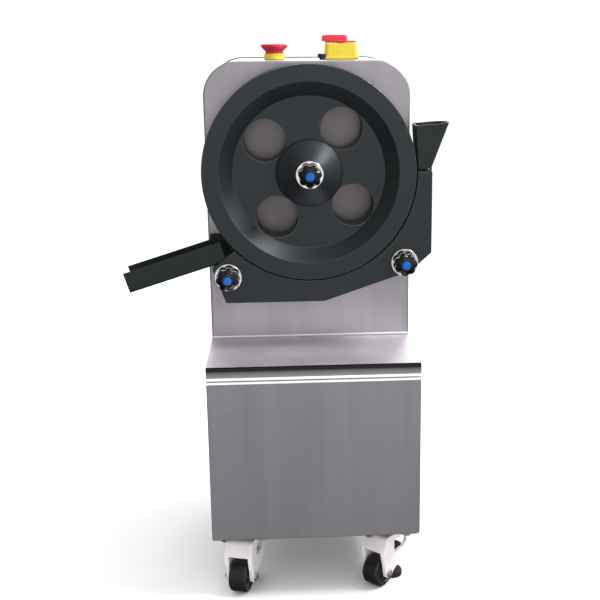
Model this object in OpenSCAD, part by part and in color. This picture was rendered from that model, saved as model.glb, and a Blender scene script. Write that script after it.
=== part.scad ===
// Rotor-and-concave tablet machine on a wheeled stainless steel stand.
// Tablets enter the hopper, ride under the rotor inside the concave, and leave down the chute.
// +X is the machine's right, +Y its back, +Z up, and z = 0 is the floor.

/* [Tower] */
// Width of the upper tower
tower_w = 324; // [318:1:326]
// Depth of the upper tower
tower_d = 240; // [230:1:260]
// Height of the upper tower above the ledge
tower_h = 444.5; // [440:0.5:460]
// Radius of the tower's two top corners
tower_corner_r = 54; // [30:1:60]
// Thickness of the stainless sheet
sheet_t = 2; // [1.5:0.5:2.5]

/* [Base cabinet] */
// Width of the base cabinet
base_w = 326; // [324:1:330]
// Height of the base cabinet
base_h = 283; // [275:1:295]
// Depth of the ledge in front of the tower
ledge_d = 159; // [150:1:170]
// Height of the ledge cover's front lip
lip_h = 21; // [15:1:30]

/* [Rotor] */
// Outer radius of the rotor
rotor_r = 165; // [160:0.5:165.5]
// Height of the rotor's axis above the ledge
rotor_rise = 276.7; // [275:0.1:278]
// Distance of the rotor's rim face from the tower front
rim_t = 67.6; // [64:0.1:72]
// Distance of the rotor's web face from the tower front
web_t = 48.8; // [46:0.1:52]
// Gap between the rotor's back and the tower front
rotor_gap = 8; // [6:0.5:10]
// Inner radius of the flat rim face
rim_in_r = 138.8; // [134:0.1:144]
// Outer radius of the web
web_r = 117.5; // [114:0.5:122]
// Number of round holes in the web
hole_count = 4; // [3:1:5]
// Radius of each web hole
hole_r = 32.7; // [25:0.1:34]
// Radius of the circle that the web holes lie on
hole_ring_r = 84.4; // [83:0.1:88]
// Turn of the first web hole from the machine's right
hole_turn = 53.2; // [0:0.1:89]
// Radius of the hub cone's foot
hub_r = 49.5; // [46:0.5:51]
// Radius of the drive shaft
shaft_r = 12.5; // [12:0.1:13]

/* [Feed path] */
// Gap between the rotor's rim and the concave
concave_gap = 2; // [1.5:0.1:3]
// Distance of the concave's face from the tower front
concave_t = 65.6; // [60:0.1:67]
// Radius of the feed channel's floor in the concave
channel_r = 178; // [172:0.5:180]
// Width of the feed channel
channel_w = 34; // [20:1:36]
// Height of the chute's walls
chute_wall_h = 32.4; // [24:0.1:36]
// Slope of the chute in degrees
chute_slope = 17.3; // [12:0.1:20]
// Width of the chute
chute_w = 58; // [50:1:60]

/* [Knobs] */
// Radius of the polished washers under the knobs
washer_r = 21.5; // [18:0.5:22]
// Height of a knob above its washer
knob_h = 27; // [24:0.5:30]
// Number of lobes on a knob
knob_lobes = 7; // [5:1:9]

/* [Casters] */
// Height from the floor to the base cabinet
caster_h = 103; // [103:1:106]
// Radius of a caster wheel
wheel_r = 25; // [24:0.5:26]
// Width of a caster wheel
wheel_w = 29.4; // [26:0.1:30]
// Turn of the front left caster in degrees
caster_turn_fl = -16; // [-45:1:45]
// Turn of the front right caster in degrees
caster_turn_fr = -43; // [-60:1:45]
// Turn of the rear left caster in degrees
caster_turn_rl = 150; // [120:1:240]
// Turn of the rear right caster in degrees
caster_turn_rr = 195; // [120:1:240]

/* [Hidden] */
$fn = 96;

// Heights above the floor
ledge_z = caster_h + base_h;
tower_top_z = ledge_z + tower_h;
rotor_z = ledge_z + rotor_rise;
seam_gap = 1.5;
seam_depth = 1;
base_back_y = tower_d;
top_hole_half = 131;

// Feed path outline, seen from the front as [x, z]
concave_r = rotor_r + concave_gap;
tip = [-118, rotor_z - 118];
left_corner = [-153.3, rotor_z - 146];
low_left = [-133.4, rotor_z - 200.7];
low_mid = [20.5, rotor_z - 200.7];
low_right = [156.4, rotor_z - 155.2];
right_corner = [189.5, rotor_z - 126];
concave_top = rotor_z + 1.5;
left_knob_at = [-129.3, rotor_z - 159.2];
right_knob_at = [147, rotor_z - 140.5];
spacer_t = 6;

// Hopper
hopper_left = 163.5;
hopper_right = 217.2;
hopper_top = rotor_z + 75;
hopper_rim_tilt = 4.2;
hopper_wall = 2;
throat_left = 167.7;
throat_right = 189;

// Chute, from its free end
chute_left = -291.8;
chute_start = [chute_left + chute_wall_h * sin(chute_slope), rotor_z - 182];
chute_len = 158.3;
chute_sheet = 1.6;
chute_front_t = 62;
bracket_t = 3.7;

// Drive
pulley_t = -131;
belt_w = 20;
big_pulley_r = 48;
small_pulley_r = 32;
motor_z = 190;
thread_r = 6;
stud_r = 5;
washer_t = 3;
hub_top_t = 75;

// Switches on the top
switch_y = 115;
estop_x = -50;
isolator_x = 59.6;
reset_at = [27, 78];
isolator_w = 51;

// Casters
caster_x = 115;
caster_front_y = -108;
caster_rear_y = 190;
wheel_off = 22;
wheel_lift = 1;
fork_in = 32;
fork_leg = 7;
foot_off = 18;
plate_w = 73;
plate_hole = 58;
plate_t = 5;
axle_r = 5;

// The frame's origin is on the floor below the middle of the machine's box
gland_reach = 22;
box_front_y = -ledge_d - sheet_t;
box_back_y = base_back_y + sheet_t + gland_reach;
shift_x = -(chute_left + hopper_right) / 2;
shift_y = -(box_front_y + box_back_y) / 2;

steel = [0.62, 0.6, 0.62];
black = [0.16, 0.18, 0.19];

module place() {
    translate([shift_x, shift_y, 0]) children();
}

// Turns a drawing so that its Z points out of the tower front, its X right and its Y up
module facing_front(x, z) {
    translate([x, 0, z]) rotate([90, 0, 0]) children();
}

// A front view outline pulled out from one distance to another in front of the tower
module slab(from_t, to_t) {
    facing_front(0, 0) translate([0, 0, from_t]) linear_extrude(to_t - from_t) children();
}

module screw_holes(points, r) {
    for (p = points) translate(p) circle(r = r, $fn = 24);
}

// ---- tower and base sheet metal ----

module tower_outline(inset) {
    w = tower_w - 2 * inset;
    top = tower_h - inset;
    r = tower_corner_r - inset;
    translate([-w / 2, 0]) square([w, top - r]);
    translate([-w / 2 + r, 0]) square([w - 2 * r, top]);
    for (side = [-1, 1]) translate([side * (w / 2 - r), top - r]) circle(r = r);
}

module tower_back_solid(y, t, inset) {
    translate([0, y + t, ledge_z]) rotate([90, 0, 0]) linear_extrude(t) tower_outline(inset);
}

tower_screw_points = [for (side = [-1, 1], z = [30, 150, 270, 385]) [side * 152, z]];
base_screw_points = [for (side = [-1, 1], z = [18, 100, 182, 262]) [side * 152, z]];
bracket_screw_points = [[-134, rotor_z - 105.7], [-124, rotor_z - 113.2]];

module tower_shell() {
    color(steel) place() difference() {
        tower_back_solid(0, tower_d, 0);
        tower_back_solid(sheet_t, tower_d, sheet_t);
        translate([-tower_w, -1, ledge_z - 1]) cube([2 * tower_w, 1 + seam_depth, seam_gap + 1]);
        slab(-sheet_t - 1, 1) {
            translate([0, rotor_z]) circle(r = 24);
            translate(left_knob_at) circle(r = stud_r + 0.5);
            translate(right_knob_at) circle(r = stud_r + 0.5);
            screw_holes(bracket_screw_points, 2.2);
        }
        for (x = [estop_x, isolator_x])
            translate([x, switch_y, tower_top_z - 10]) cylinder(r = 11.3, h = 20);
        translate([reset_at.x, reset_at.y, tower_top_z - 10]) cylinder(r = 4.3, h = 20);
    }
}

module rear_gasket() {
    proud = 1.5;
    color("black") place() difference() {
        tower_back_solid(tower_d, sheet_t, -proud);
        tower_back_solid(tower_d - 1, sheet_t + 2, 14);
        translate([-tower_w, tower_d - 1, ledge_z - 1]) cube([2 * tower_w, 9, 2]);
        translate([0, tower_d + 4, ledge_z]) rotate([90, 0, 0]) linear_extrude(8)
            screw_holes(tower_screw_points, 2.2);
    }
}

module tower_rear_cover() {
    color(steel) place() difference() {
        tower_back_solid(tower_d + sheet_t, sheet_t, 0);
        translate([0, tower_d + 8, ledge_z]) rotate([90, 0, 0]) linear_extrude(10) {
            screw_holes(tower_screw_points, 2.2);
            for (row = [0:7], x = [-95, 35]) translate([x, 60 + 14 * row]) square([60, 3]);
        }
    }
}

module base_cabinet() {
    half = base_w / 2;
    front = -ledge_d + sheet_t;
    flange = 16;
    depth = base_back_y - front;
    top_z = ledge_z - sheet_t;
    color(steel) place() difference() {
        translate([-half, front, caster_h]) cube([base_w, depth, top_z - caster_h]);
        translate([-half + sheet_t, front + sheet_t, caster_h + sheet_t])
            cube([base_w - 2 * sheet_t, depth - 2 * sheet_t, top_z - caster_h - 2 * sheet_t]);
        translate([-half + flange, front - 1, caster_h + flange])
            cube([base_w - 2 * flange, depth + 2, top_z - caster_h - 2 * flange - 20]);
        translate([-half + flange, front + flange, top_z - sheet_t - 1])
            cube([base_w - 2 * flange, -front - flange - 12, sheet_t + 2]);
        translate([-top_hole_half, 30, top_z - sheet_t - 1])
            cube([2 * top_hole_half, base_back_y - 60, sheet_t + 2]);
        for (corner = [0:3]) caster_at(corner) for (x = [-1, 1], y = [-1, 1])
            translate([x * plate_hole / 2, y * plate_hole / 2, caster_h - 1]) cylinder(r = 4.3, h = 5);
        translate([0, base_back_y + 1, caster_h]) rotate([90, 0, 0]) linear_extrude(4)
            screw_holes(base_screw_points, 2.2);
    }
}

module ledge_cover() {
    half = base_w / 2;
    front = -ledge_d - sheet_t;
    color(steel) place() difference() {
        union() {
            translate([-half, front, ledge_z - sheet_t]) cube([base_w, base_back_y - front, sheet_t]);
            translate([-half, front, ledge_z - lip_h]) cube([base_w, sheet_t - 0.3, lip_h]);
        }
        translate([-top_hole_half, 30, ledge_z - 5]) cube([2 * top_hole_half, base_back_y - 60, 10]);
    }
}

module front_panel() {
    half = base_w / 2;
    top_z = ledge_z - lip_h - 2;
    color(steel) place() translate([-half, -ledge_d, caster_h]) cube([base_w, sheet_t, top_z - caster_h]);
}

gland_at = [-105, 60];

module base_rear_cover() {
    half = base_w / 2 - 2;
    color(steel) place() difference() {
        translate([-half, base_back_y, caster_h + 3]) cube([2 * half, sheet_t, base_h - 8]);
        translate([0, base_back_y + 4, caster_h]) rotate([90, 0, 0]) linear_extrude(8) {
            screw_holes(base_screw_points, 2.2);
            translate(gland_at) circle(r = 8.2);
            for (row = [0:7], x = [-60, 30]) translate([x, 110 + 14 * row]) square([60, 3]);
        }
    }
}

// ---- drive inside the tower and base ----

module drive_plate() {
    plate_half = 153;
    foot_d = 50;
    color("lightgray") place() difference() {
        union() {
            slab(-22, -10) translate([-plate_half, ledge_z + 0.1]) square([2 * plate_half, 352]);
            for (x = [-plate_half, plate_half - 20])
                translate([x, 21, ledge_z + 0.1]) cube([20, foot_d, 10]);
        }
        slab(-23, -9) {
            translate([0, rotor_z]) circle(r = 30);
            translate(left_knob_at) circle(r = stud_r + 0.05);
            translate(right_knob_at) circle(r = stud_r + 0.05);
        }
    }
}

housing_bolt_r = 58;

module spindle_housing() {
    color("dimgray") place() facing_front(0, rotor_z) difference() {
        rotate_extrude() polygon([
            [21, -110], [40, -110], [40, -36], [46, -34], [70, -34], [70, -22.1], [21, -22.1]
        ]);
        translate([0, 0, -38]) cylinder(r = 26.05, h = 17);
        translate([0, 0, -111]) cylinder(r = 26.05, h = 17);
        for (i = [0:5]) rotate(60 * i + 30) translate([housing_bolt_r, 0, -35]) cylinder(r = 4.3, h = 14);
    }
}

module spindle_bearings() {
    ring = [
        [shaft_r + 0.05, 0], [16, 0], [16.5, 0.8], [21.5, 0.8], [22, 0], [26, 0],
        [26, 15], [22, 15], [21.5, 14.2], [16.5, 14.2], [16, 15], [shaft_r + 0.05, 15]
    ];
    color("silver") place() for (t = [-38, -110])
        facing_front(0, rotor_z) translate([0, 0, t + 0.5]) rotate_extrude() polygon(ring);
}

module main_shaft() {
    color("silver") place() facing_front(0, rotor_z) difference() {
        rotate_extrude() polygon([
            [0, -152], [11.5, -152], [shaft_r, -151], [shaft_r, -20], [18, -20], [18, rotor_gap - 0.2],
            [shaft_r, rotor_gap - 0.2], [shaft_r, hub_top_t - 1], [thread_r, hub_top_t - 1],
            [thread_r, hub_top_t + 20], [0, hub_top_t + 20]
        ]);
        translate([-4, shaft_r - 4, -146]) cube([8, 5, 28]);
    }
}

module pulley(r, bore) {
    half = belt_w / 2 + 1;
    difference() {
        rotate_extrude() polygon([
            [bore, -half - 8], [bore + 10, -half - 8], [bore + 10, -half - 2], [r + 5, -half - 2],
            [r + 5, -half], [r, -half], [r, half], [r + 5, half], [r + 5, half + 2], [bore, half + 2]
        ]);
        for (i = [0:5]) rotate(60 * i) translate([(bore + r) / 2 + 4, 0, -half - 12])
            cylinder(r = (r - bore) / 5, h = 60);
    }
}

module driven_pulley() {
    color("dimgray") place() facing_front(0, rotor_z) translate([0, 0, pulley_t])
        pulley(big_pulley_r, shaft_r + 0.01);
}

output_shaft_r = 9;

module drive_pulley() {
    color("dimgray") place() facing_front(0, motor_z) {
        translate([0, 0, pulley_t]) pulley(small_pulley_r, output_shaft_r + 0.02);
        translate([0, 0, pulley_t - 20]) cylinder(r = output_shaft_r, h = 58);
    }
}

// Both pulleys' circles grown by a margin, and the straight runs between them
module belt_outline(margin) {
    span = rotor_z - motor_z;
    tilt = -(big_pulley_r - small_pulley_r) / span;
    across = sqrt(1 - tilt * tilt);
    overlap = 0.02;
    big = big_pulley_r + margin - overlap;
    small = small_pulley_r + margin - overlap;
    translate([0, rotor_z]) circle(r = big + overlap);
    translate([0, motor_z]) circle(r = small + overlap);
    polygon([
        [big * across, rotor_z + big * tilt], [small * across, motor_z + small * tilt],
        [-small * across, motor_z + small * tilt], [-big * across, rotor_z + big * tilt]
    ]);
}

module timing_belt() {
    color("black") place() difference() {
        slab(pulley_t - belt_w / 2, pulley_t + belt_w / 2) belt_outline(2.6);
        slab(pulley_t - belt_w, pulley_t + belt_w) belt_outline(0.4);
    }
}

gearbox_front = -35;
gearbox_back = -112;
gear_half = 46;

module gearbox() {
    foot_z = caster_h + sheet_t + 0.1;
    color("gray") place() {
        difference() {
            union() {
                slab(gearbox_back, gearbox_front) translate([-gear_half, foot_z + 8])
                    square([2 * gear_half, motor_z - foot_z - 8]);
                slab(gearbox_back, gearbox_front) translate([0, motor_z]) circle(r = gear_half);
                translate([-gear_half - 20, -gearbox_front, foot_z])
                    cube([2 * gear_half + 40, gearbox_front - gearbox_back, 8]);
            }
            slab(gearbox_back - 1, gearbox_back + 20) translate([0, motor_z])
                circle(r = output_shaft_r + 0.05);
            for (x = [-1, 1], y = [1, 6])
                translate([x * (gear_half + 10), -gearbox_front + 11 * y, foot_z - 1])
                cylinder(r = 4.5, h = 12);
        }
    }
}

motor_front = 128;
motor_r = 56;
fin_count = 24;

module motor() {
    color("slategray") place() {
        slab(gearbox_front + 0.1, gearbox_front + 12) translate([0, motor_z]) circle(r = 60);
        slab(gearbox_front + 12, 96) translate([0, motor_z]) {
            circle(r = motor_r);
            for (i = [0:fin_count - 1]) rotate(360 / fin_count * i)
                translate([0, -1.2]) square([motor_r + 6, 2.4]);
        }
        slab(96, motor_front) translate([0, motor_z]) circle(r = motor_r + 5);
        translate([-35, -60, motor_z + motor_r - 4]) cube([70, 70, 34]);
    }
}

module control_box() {
    color("gainsboro") place() difference() {
        translate([-156, 118, caster_h + 40]) cube([62, 100, 190]);
        translate([-95, 124, caster_h + 46]) cube([3, 88, 178]);
    }
}

// ---- rotor ----

module rotor_drum() {
    bevel = 1.5;
    groove = 4;
    mid = concave_t / 2 + 3.2;
    half = channel_w / 2 - 1;
    color(black) place() facing_front(0, rotor_z) difference() {
        rotate_extrude($fn = 180) polygon([
            [26, rotor_gap], [rotor_r - bevel, rotor_gap], [rotor_r, rotor_gap + bevel],
            [rotor_r, mid - half - groove], [rotor_r - groove, mid - half],
            [rotor_r - groove, mid + half], [rotor_r, mid + half + groove],
            [rotor_r, rim_t - bevel], [rotor_r - bevel, rim_t], [rim_in_r, rim_t],
            [web_r, web_t], [26, web_t]
        ]);
        for (i = [0:hole_count - 1]) rotate(hole_turn + 360 / hole_count * i)
            translate([hole_ring_r, 0, rotor_gap - 1]) cylinder(r = hole_r, h = web_t - rotor_gap + 2);
    }
}

module rotor_hub() {
    step = 5;
    color(black) place() facing_front(0, rotor_z) rotate_extrude() polygon([
        [shaft_r + 0.02, rotor_gap + 6], [25.97, rotor_gap + 6], [25.97, web_t], [hub_r + 2, web_t + 0.02],
        [hub_r + 2, web_t + step], [hub_r, web_t + step + 2], [washer_r + 1.5, hub_top_t - 1],
        [washer_r, hub_top_t], [shaft_r + 0.02, hub_top_t]
    ]);
}

module washer(t, bore) {
    rotate_extrude() polygon([
        [bore, t], [washer_r, t], [washer_r, t + washer_t - 0.6], [washer_r - 0.6, t + washer_t],
        [bore, t + washer_t]
    ]);
}

module rotor_washer() {
    color("silver") place() facing_front(0, rotor_z) washer(hub_top_t + 0.05, thread_r + 0.3);
}

knob_boss_r = 11;
knob_core_r = 15.2;
lobe_r = 5;
cap_r = 6.5;

// A star knob whose foot is at t
module star_knob(t, bore) {
    foot = t + 0.3;
    top = t + knob_h - 3;
    difference() {
        union() {
            translate([0, 0, foot]) cylinder(r = knob_boss_r, h = 6);
            translate([0, 0, foot + 5]) linear_extrude(top - foot - 8) {
                circle(r = knob_core_r);
                for (i = [0:knob_lobes - 1]) rotate(360 / knob_lobes * i)
                    translate([knob_core_r - 2, 0]) circle(r = lobe_r, $fn = 40);
            }
            rotate_extrude() polygon([[0, foot + 5], [15, top - 3.2], [cap_r + 2.5, top], [0, top]]);
        }
        translate([0, 0, t - 1]) cylinder(r = bore, h = knob_h - 7);
        translate([0, 0, top - 2]) cylinder(r = cap_r + 0.1, h = 4);
    }
}

module knob_cap(t) {
    low = t + knob_h - 4.9;
    color([0.09, 0.42, 0.75]) rotate_extrude() polygon([
        [0, low], [cap_r, low], [cap_r, low + 2.9],
        [cap_r - 0.8, low + 4.2], [cap_r - 3, low + 4.8], [0, low + 4.9]
    ]);
}

hub_knob_t = hub_top_t + washer_t;
concave_knob_t = concave_t + washer_t;

module rotor_knob() {
    color([0.05, 0.05, 0.05]) place() facing_front(0, rotor_z) star_knob(hub_knob_t, thread_r + 0.05);
}

module rotor_knob_cap() {
    place() facing_front(0, rotor_z) knob_cap(hub_knob_t);
}

module left_knob() {
    color([0.05, 0.05, 0.05]) place() facing_front(left_knob_at.x, left_knob_at.y)
        star_knob(concave_knob_t, stud_r + 0.05);
}

module left_knob_cap() {
    place() facing_front(left_knob_at.x, left_knob_at.y) knob_cap(concave_knob_t);
}

module right_knob() {
    color([0.05, 0.05, 0.05]) place() facing_front(right_knob_at.x, right_knob_at.y)
        star_knob(concave_knob_t, stud_r + 0.05);
}

module right_knob_cap() {
    place() facing_front(right_knob_at.x, right_knob_at.y) knob_cap(concave_knob_t);
}

// ---- concave, hopper and chute ----

channel_from = concave_t / 2 + 3.2 - channel_w / 2;
channel_to = channel_from + channel_w;
inlet_left = 168;
inlet_right = 184;

// Front view of the concave's plates, cut out to an inner radius
module concave_outline(inner_r) {
    difference() {
        polygon([
            tip, left_corner, low_left, low_mid, low_right, right_corner,
            [right_corner.x, concave_top], [throat_left - 8, concave_top], [0, rotor_z]
        ]);
        translate([0, rotor_z]) circle(r = inner_r, $fn = 180);
        for (p = [left_knob_at, right_knob_at]) translate(p) circle(r = stud_r + 0.3);
    }
}

module concave_cheeks() {
    color(black) place() {
        slab(spacer_t, channel_from) concave_outline(concave_r);
        slab(channel_to, concave_t) concave_outline(concave_r);
    }
}

module concave_channel() {
    color(black) place() slab(channel_from, channel_to) difference() {
        concave_outline(channel_r);
        translate([inlet_left - 10, concave_top - 45]) square([inlet_right - inlet_left + 10, 60]);
    }
}

module stud(p) {
    facing_front(p.x, p.y) rotate_extrude() polygon([
        [0, -30], [stud_r, -30], [stud_r, 0.2], [9, 0.2], [9, spacer_t - 0.05], [stud_r, spacer_t - 0.05],
        [stud_r, concave_knob_t + knob_h - 10], [stud_r - 1, concave_knob_t + knob_h - 9],
        [0, concave_knob_t + knob_h - 9]
    ]);
}

// Two studs, each with its washer
module concave_fixings() {
    color("silver") place() for (p = [left_knob_at, right_knob_at]) {
        stud(p);
        facing_front(p.x, p.y) washer(concave_t + 0.02, stud_r + 0.3);
    }
}

// One level of the hopper, a rectangle with its two right corners cut off
module hopper_level(z, left, right, front_t, back_t, cut, t) {
    translate([0, 0, z]) linear_extrude(t) polygon([
        [left, -front_t], [right - cut, -front_t], [right, -front_t + cut],
        [right, -back_t - cut], [right - cut, -back_t], [left, -back_t]
    ]);
}

hopper_front_t = 64;
hopper_back_t = 10;

module hopper() {
    foot_z = concave_top + 4;
    w = hopper_wall;
    color(black) place() {
        difference() {
            union() {
                hull() {
                    hopper_level(hopper_top - 0.5, hopper_left, hopper_right, hopper_front_t,
                         hopper_back_t, 15, 0.5);
                    hopper_level(foot_z, throat_left, throat_right, hopper_front_t, hopper_back_t, 7, 0.5);
                }
                translate([inlet_left + 1.5, -channel_to + 0.5, concave_top - 7])
                    cube([inlet_right - inlet_left - 2, channel_w - 1, foot_z - concave_top + 8]);
            }
            hull() {
                hopper_level(hopper_top, hopper_left + w, hopper_right - w,
                    hopper_front_t - w, hopper_back_t + w, 14, 0.5);
                hopper_level(foot_z + 2, inlet_left + 3, inlet_right - 2,
                    channel_to - 2, channel_from + 2, 1, 0.5);
            }
            translate([inlet_left + 3, -channel_to + 2, concave_top - 9])
                cube([inlet_right - inlet_left - 5, channel_w - 4, 16]);
            translate([hopper_right, -80, hopper_top]) rotate([0, -hopper_rim_tilt, 0])
                translate([-90, 0, 0]) cube([100, 80, 20]);
        }
        difference() {
            translate([right_corner.x + 0.3, -45, concave_top - 12]) cube([1.5, 16, 22]);
            translate([right_corner.x - 1, -37, concave_top - 7]) rotate([0, 90, 0])
                cylinder(r = 2.2, h = 5);
        }
    }
}

module chute_side() {
    line_angle = atan2(tip.y - left_corner.y, tip.x - left_corner.x);
    difference() {
        translate(chute_start) rotate(chute_slope) square([chute_len, chute_wall_h]);
        translate(left_corner) rotate(line_angle) translate([-80, -120]) square([240, 121]);
    }
}

module chute_floor() {
    intersection() {
        chute_side();
        translate(chute_start) rotate(chute_slope) square([chute_len, chute_sheet]);
    }
}

module chute() {
    back_t = chute_front_t - chute_w;
    color(black) place() {
        slab(chute_front_t - chute_sheet, chute_front_t) chute_side();
        slab(back_t, back_t + chute_sheet) chute_side();
        slab(back_t + chute_sheet, chute_front_t - chute_sheet) chute_floor();
    }
}

module chute_bracket() {
    color("black") place() difference() {
        slab(0.1, bracket_t) polygon([
            [-159, rotor_z - 140], [-159, rotor_z - 101.5], [-125, rotor_z - 98.5],
            [-112, rotor_z - 116], [-130, rotor_z - 132]
        ]);
        slab(0, bracket_t + 1) screw_holes(bracket_screw_points, 2.2);
    }
}

// ---- switches on the top ----

module estop_base() {
    color([0.92, 0.8, 0.2]) place() translate([estop_x, switch_y, tower_top_z]) difference() {
        union() {
            cylinder(r = 17.2, h = 9.4);
            translate([0, 0, -24]) cylinder(r = 11, h = 25);
            translate([-15, -20, -52]) cube([30, 40, 30]);
        }
        translate([0, 0, 1]) cylinder(r = 15.4, h = 20);
        translate([0, 0, -20]) cylinder(r = 6.6, h = 40);
    }
}

module estop_button() {
    color([0.8, 0.15, 0.18]) place() translate([estop_x, switch_y, tower_top_z]) rotate_extrude() polygon([
        [0, -10], [6, -10], [6, 6.5], [14.9, 6.5], [14.9, 13.9], [16.8, 14.5], [20.8, 18.6],
        [22.2, 20.8], [22.2, 22.8], [20.6, 24.6], [12, 25.6], [0, 25.8]
    ]);
}

module isolator_base() {
    w = isolator_w;
    color([0.92, 0.8, 0.2]) place() translate([isolator_x, switch_y, tower_top_z]) difference() {
        union() {
            translate([-29, -29, 0.02]) cube([58, 58, 4]);
            hull() {
                translate([-w / 2 - 1.5, -w / 2 - 1.5, 3]) cube([w + 3, w + 3, 1]);
                translate([-w / 2, -w / 2, 25]) cube([w, w, 1]);
            }
            translate([0, 0, -24]) cylinder(r = 11, h = 30);
            translate([-22, -22, -60]) cube([44, 44, 38]);
        }
        translate([0, 0, -30]) cylinder(r = 4.2, h = 70);
    }
}

module isolator_handle() {
    color([0.86, 0.25, 0.28]) place() translate([isolator_x, switch_y, tower_top_z]) {
        translate([0, 0, 26.4]) cylinder(r = 26, h = 3);
        translate([-31, -7, 28.4]) cube([43, 14, 10.6]);
        translate([0, 0, -20]) cylinder(r = 4, h = 47);
    }
}

module reset_button() {
    color([0.1, 0.12, 0.35]) place() translate([reset_at.x, reset_at.y, tower_top_z]) {
        translate([0, 0, 2.4]) cylinder(r = 6.8, h = 7);
        translate([0, 0, -18]) cylinder(r = 4, h = 22);
    }
}

module power_gland() {
    color("black") place() translate([gland_at.x, base_back_y + sheet_t, caster_h + gland_at.y])
        rotate([-90, 0, 0]) difference() {
            union() {
                translate([0, 0, -12]) cylinder(r = 8, h = 13);
                translate([0, 0, -sheet_t - 5.1]) cylinder(r = 11.5, h = 5, $fn = 6);
                translate([0, 0, 0.05]) cylinder(r = 12, h = 6, $fn = 6);
                rotate_extrude() polygon([
                    [0, 1], [9, 1], [9, 8], [11, 9], [11, 17], [8.5, gland_reach], [0, gland_reach]
                ]);
            }
            translate([0, 0, -20]) cylinder(r = 4.5, h = 60);
        }
}

// ---- casters ----

caster_turns = [caster_turn_fl, caster_turn_fr, caster_turn_rl, caster_turn_rr];
corner_x = [-caster_x, caster_x, -caster_x, caster_x];
corner_y = [caster_front_y, caster_front_y, caster_rear_y, caster_rear_y];

module caster_at(corner) {
    translate([corner_x[corner], corner_y[corner], 0]) children();
}

module swivelled(corner) {
    place() caster_at(corner) rotate(caster_turns[corner]) children();
}

module caster_plates() {
    neck_r = 20;
    color("silver") place() for (corner = [0:3]) caster_at(corner) difference() {
        union() {
            translate([-plate_w / 2, -plate_w / 2, caster_h - plate_t - 0.05])
                cube([plate_w, plate_w, plate_t]);
            translate([0, 0, caster_h - 13]) cylinder(r = neck_r, h = 9);
            for (x = [-1, 1], y = [-1, 1])
                translate([x * plate_hole / 2, y * plate_hole / 2, caster_h - 11]) {
                cylinder(r = 7.5, h = 7, $fn = 6);
                cylinder(r = 4, h = 17);
            }
        }
    }
}

fork_top = caster_h - 13.3;
axle_z = wheel_r + wheel_lift;

// Side view of a fork leg, with forward to the left
module leg_outline() {
    polygon([
        [-28, fork_top], [-38, fork_top - 26], [-34, fork_top - 42], [-wheel_off - 9, axle_z + 4],
        [-wheel_off - 6, axle_z - 7], [-wheel_off + 6, axle_z - 9], [-wheel_off + 13, axle_z + 1],
        [-2, axle_z + 5], [16, axle_z + 6], [30, axle_z + 15], [38, axle_z + 30],
        [37, fork_top - 16], [30, fork_top]
    ]);
}

module leg_window() {
    polygon([
        [-8, fork_top - 32], [17, fork_top - 32], [25, fork_top - 25], [25, fork_top - 19],
        [17, fork_top - 11], [-8, fork_top - 11]
    ]);
}

// Side view of the hood over the wheel, with forward to the left
module hood_outline() {
    polygon([
        [30, fork_top], [-28, fork_top], [-38, fork_top - 26], [-31.5, fork_top - 26], [-24, fork_top - 6],
        [30, fork_top - 6]
    ]);
}

// A side view drawing spread across the fork to a half width
module across_fork(half) {
    rotate([90, 0, -90]) translate([0, 0, -half]) linear_extrude(2 * half) mirror([1, 0]) children();
}

module caster_fork(corner) {
    outer = fork_in / 2 + fork_leg;
    color("whitesmoke") swivelled(corner) difference() {
        union() {
            for (side = [-1, 1]) translate([side * (outer - fork_leg / 2), 0, 0])
                across_fork(fork_leg / 2) leg_outline();
            across_fork(outer) hood_outline();
            translate([-outer + 1, 6, axle_z + 12]) cube([2 * outer - 2, 24, 8]);
        }
        across_fork(40) leg_window();
        translate([-40, -wheel_off, axle_z]) rotate([0, 90, 0]) cylinder(r = axle_r + 0.05, h = 80);
        translate([0, foot_off, 0]) cylinder(r = 6.3, h = fork_top - 10);
        translate([0, foot_off, axle_z + 20]) cylinder(r = 15.6, h = 10);
    }
}

module caster_wheel(corner) {
    half = wheel_w / 2;
    color([0.06, 0.06, 0.06]) swivelled(corner) translate([0, -wheel_off, axle_z]) rotate([0, 90, 0])
        rotate_extrude() polygon([
            [axle_r + 0.06, -half], [10, -half], [11, -half + 2.5], [19, -half + 2.5], [20.5, -half + 0.5],
            [wheel_r - 3, -half + 0.5], [wheel_r, -half + 3.5], [wheel_r, half - 3.5],
            [wheel_r - 3, half - 0.5], [20.5, half - 0.5], [19, half - 2.5], [11, half - 2.5],
            [10, half], [axle_r + 0.06, half]
        ]);
}

module caster_axle(corner) {
    reach = fork_in / 2 + fork_leg;
    color("silver") swivelled(corner) translate([0, -wheel_off, axle_z]) rotate([0, 90, 0]) {
        translate([0, 0, -reach - 1]) cylinder(r = axle_r, h = 2 * reach + 2);
        translate([0, 0, reach + 0.1]) cylinder(r = 6.5, h = 2.6);
        translate([0, 0, -reach - 2.7]) cylinder(r = 6.5, h = 2.6, $fn = 6);
    }
}

module leveling_foot(corner) {
    color([0.08, 0.08, 0.08]) swivelled(corner) translate([0, foot_off, 0]) rotate_extrude() polygon([
        [0, 0], [14.2, 0], [15, 1], [15, 9], [13, 11.5], [6, 13], [5, 14], [5, axle_z + 34], [0, axle_z + 34]
    ]);
}

module thumbwheel(corner) {
    teeth = 16;
    color([0.1, 0.1, 0.1]) swivelled(corner) translate([0, foot_off, axle_z + 20.5]) difference() {
        linear_extrude(9) {
            circle(r = 14);
            for (i = [0:teeth - 1]) rotate(360 / teeth * i) translate([14, 0]) circle(r = 1.1, $fn = 16);
        }
        translate([0, 0, -1]) cylinder(r = 5.06, h = 12);
    }
}

// ---- screws ----

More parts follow.
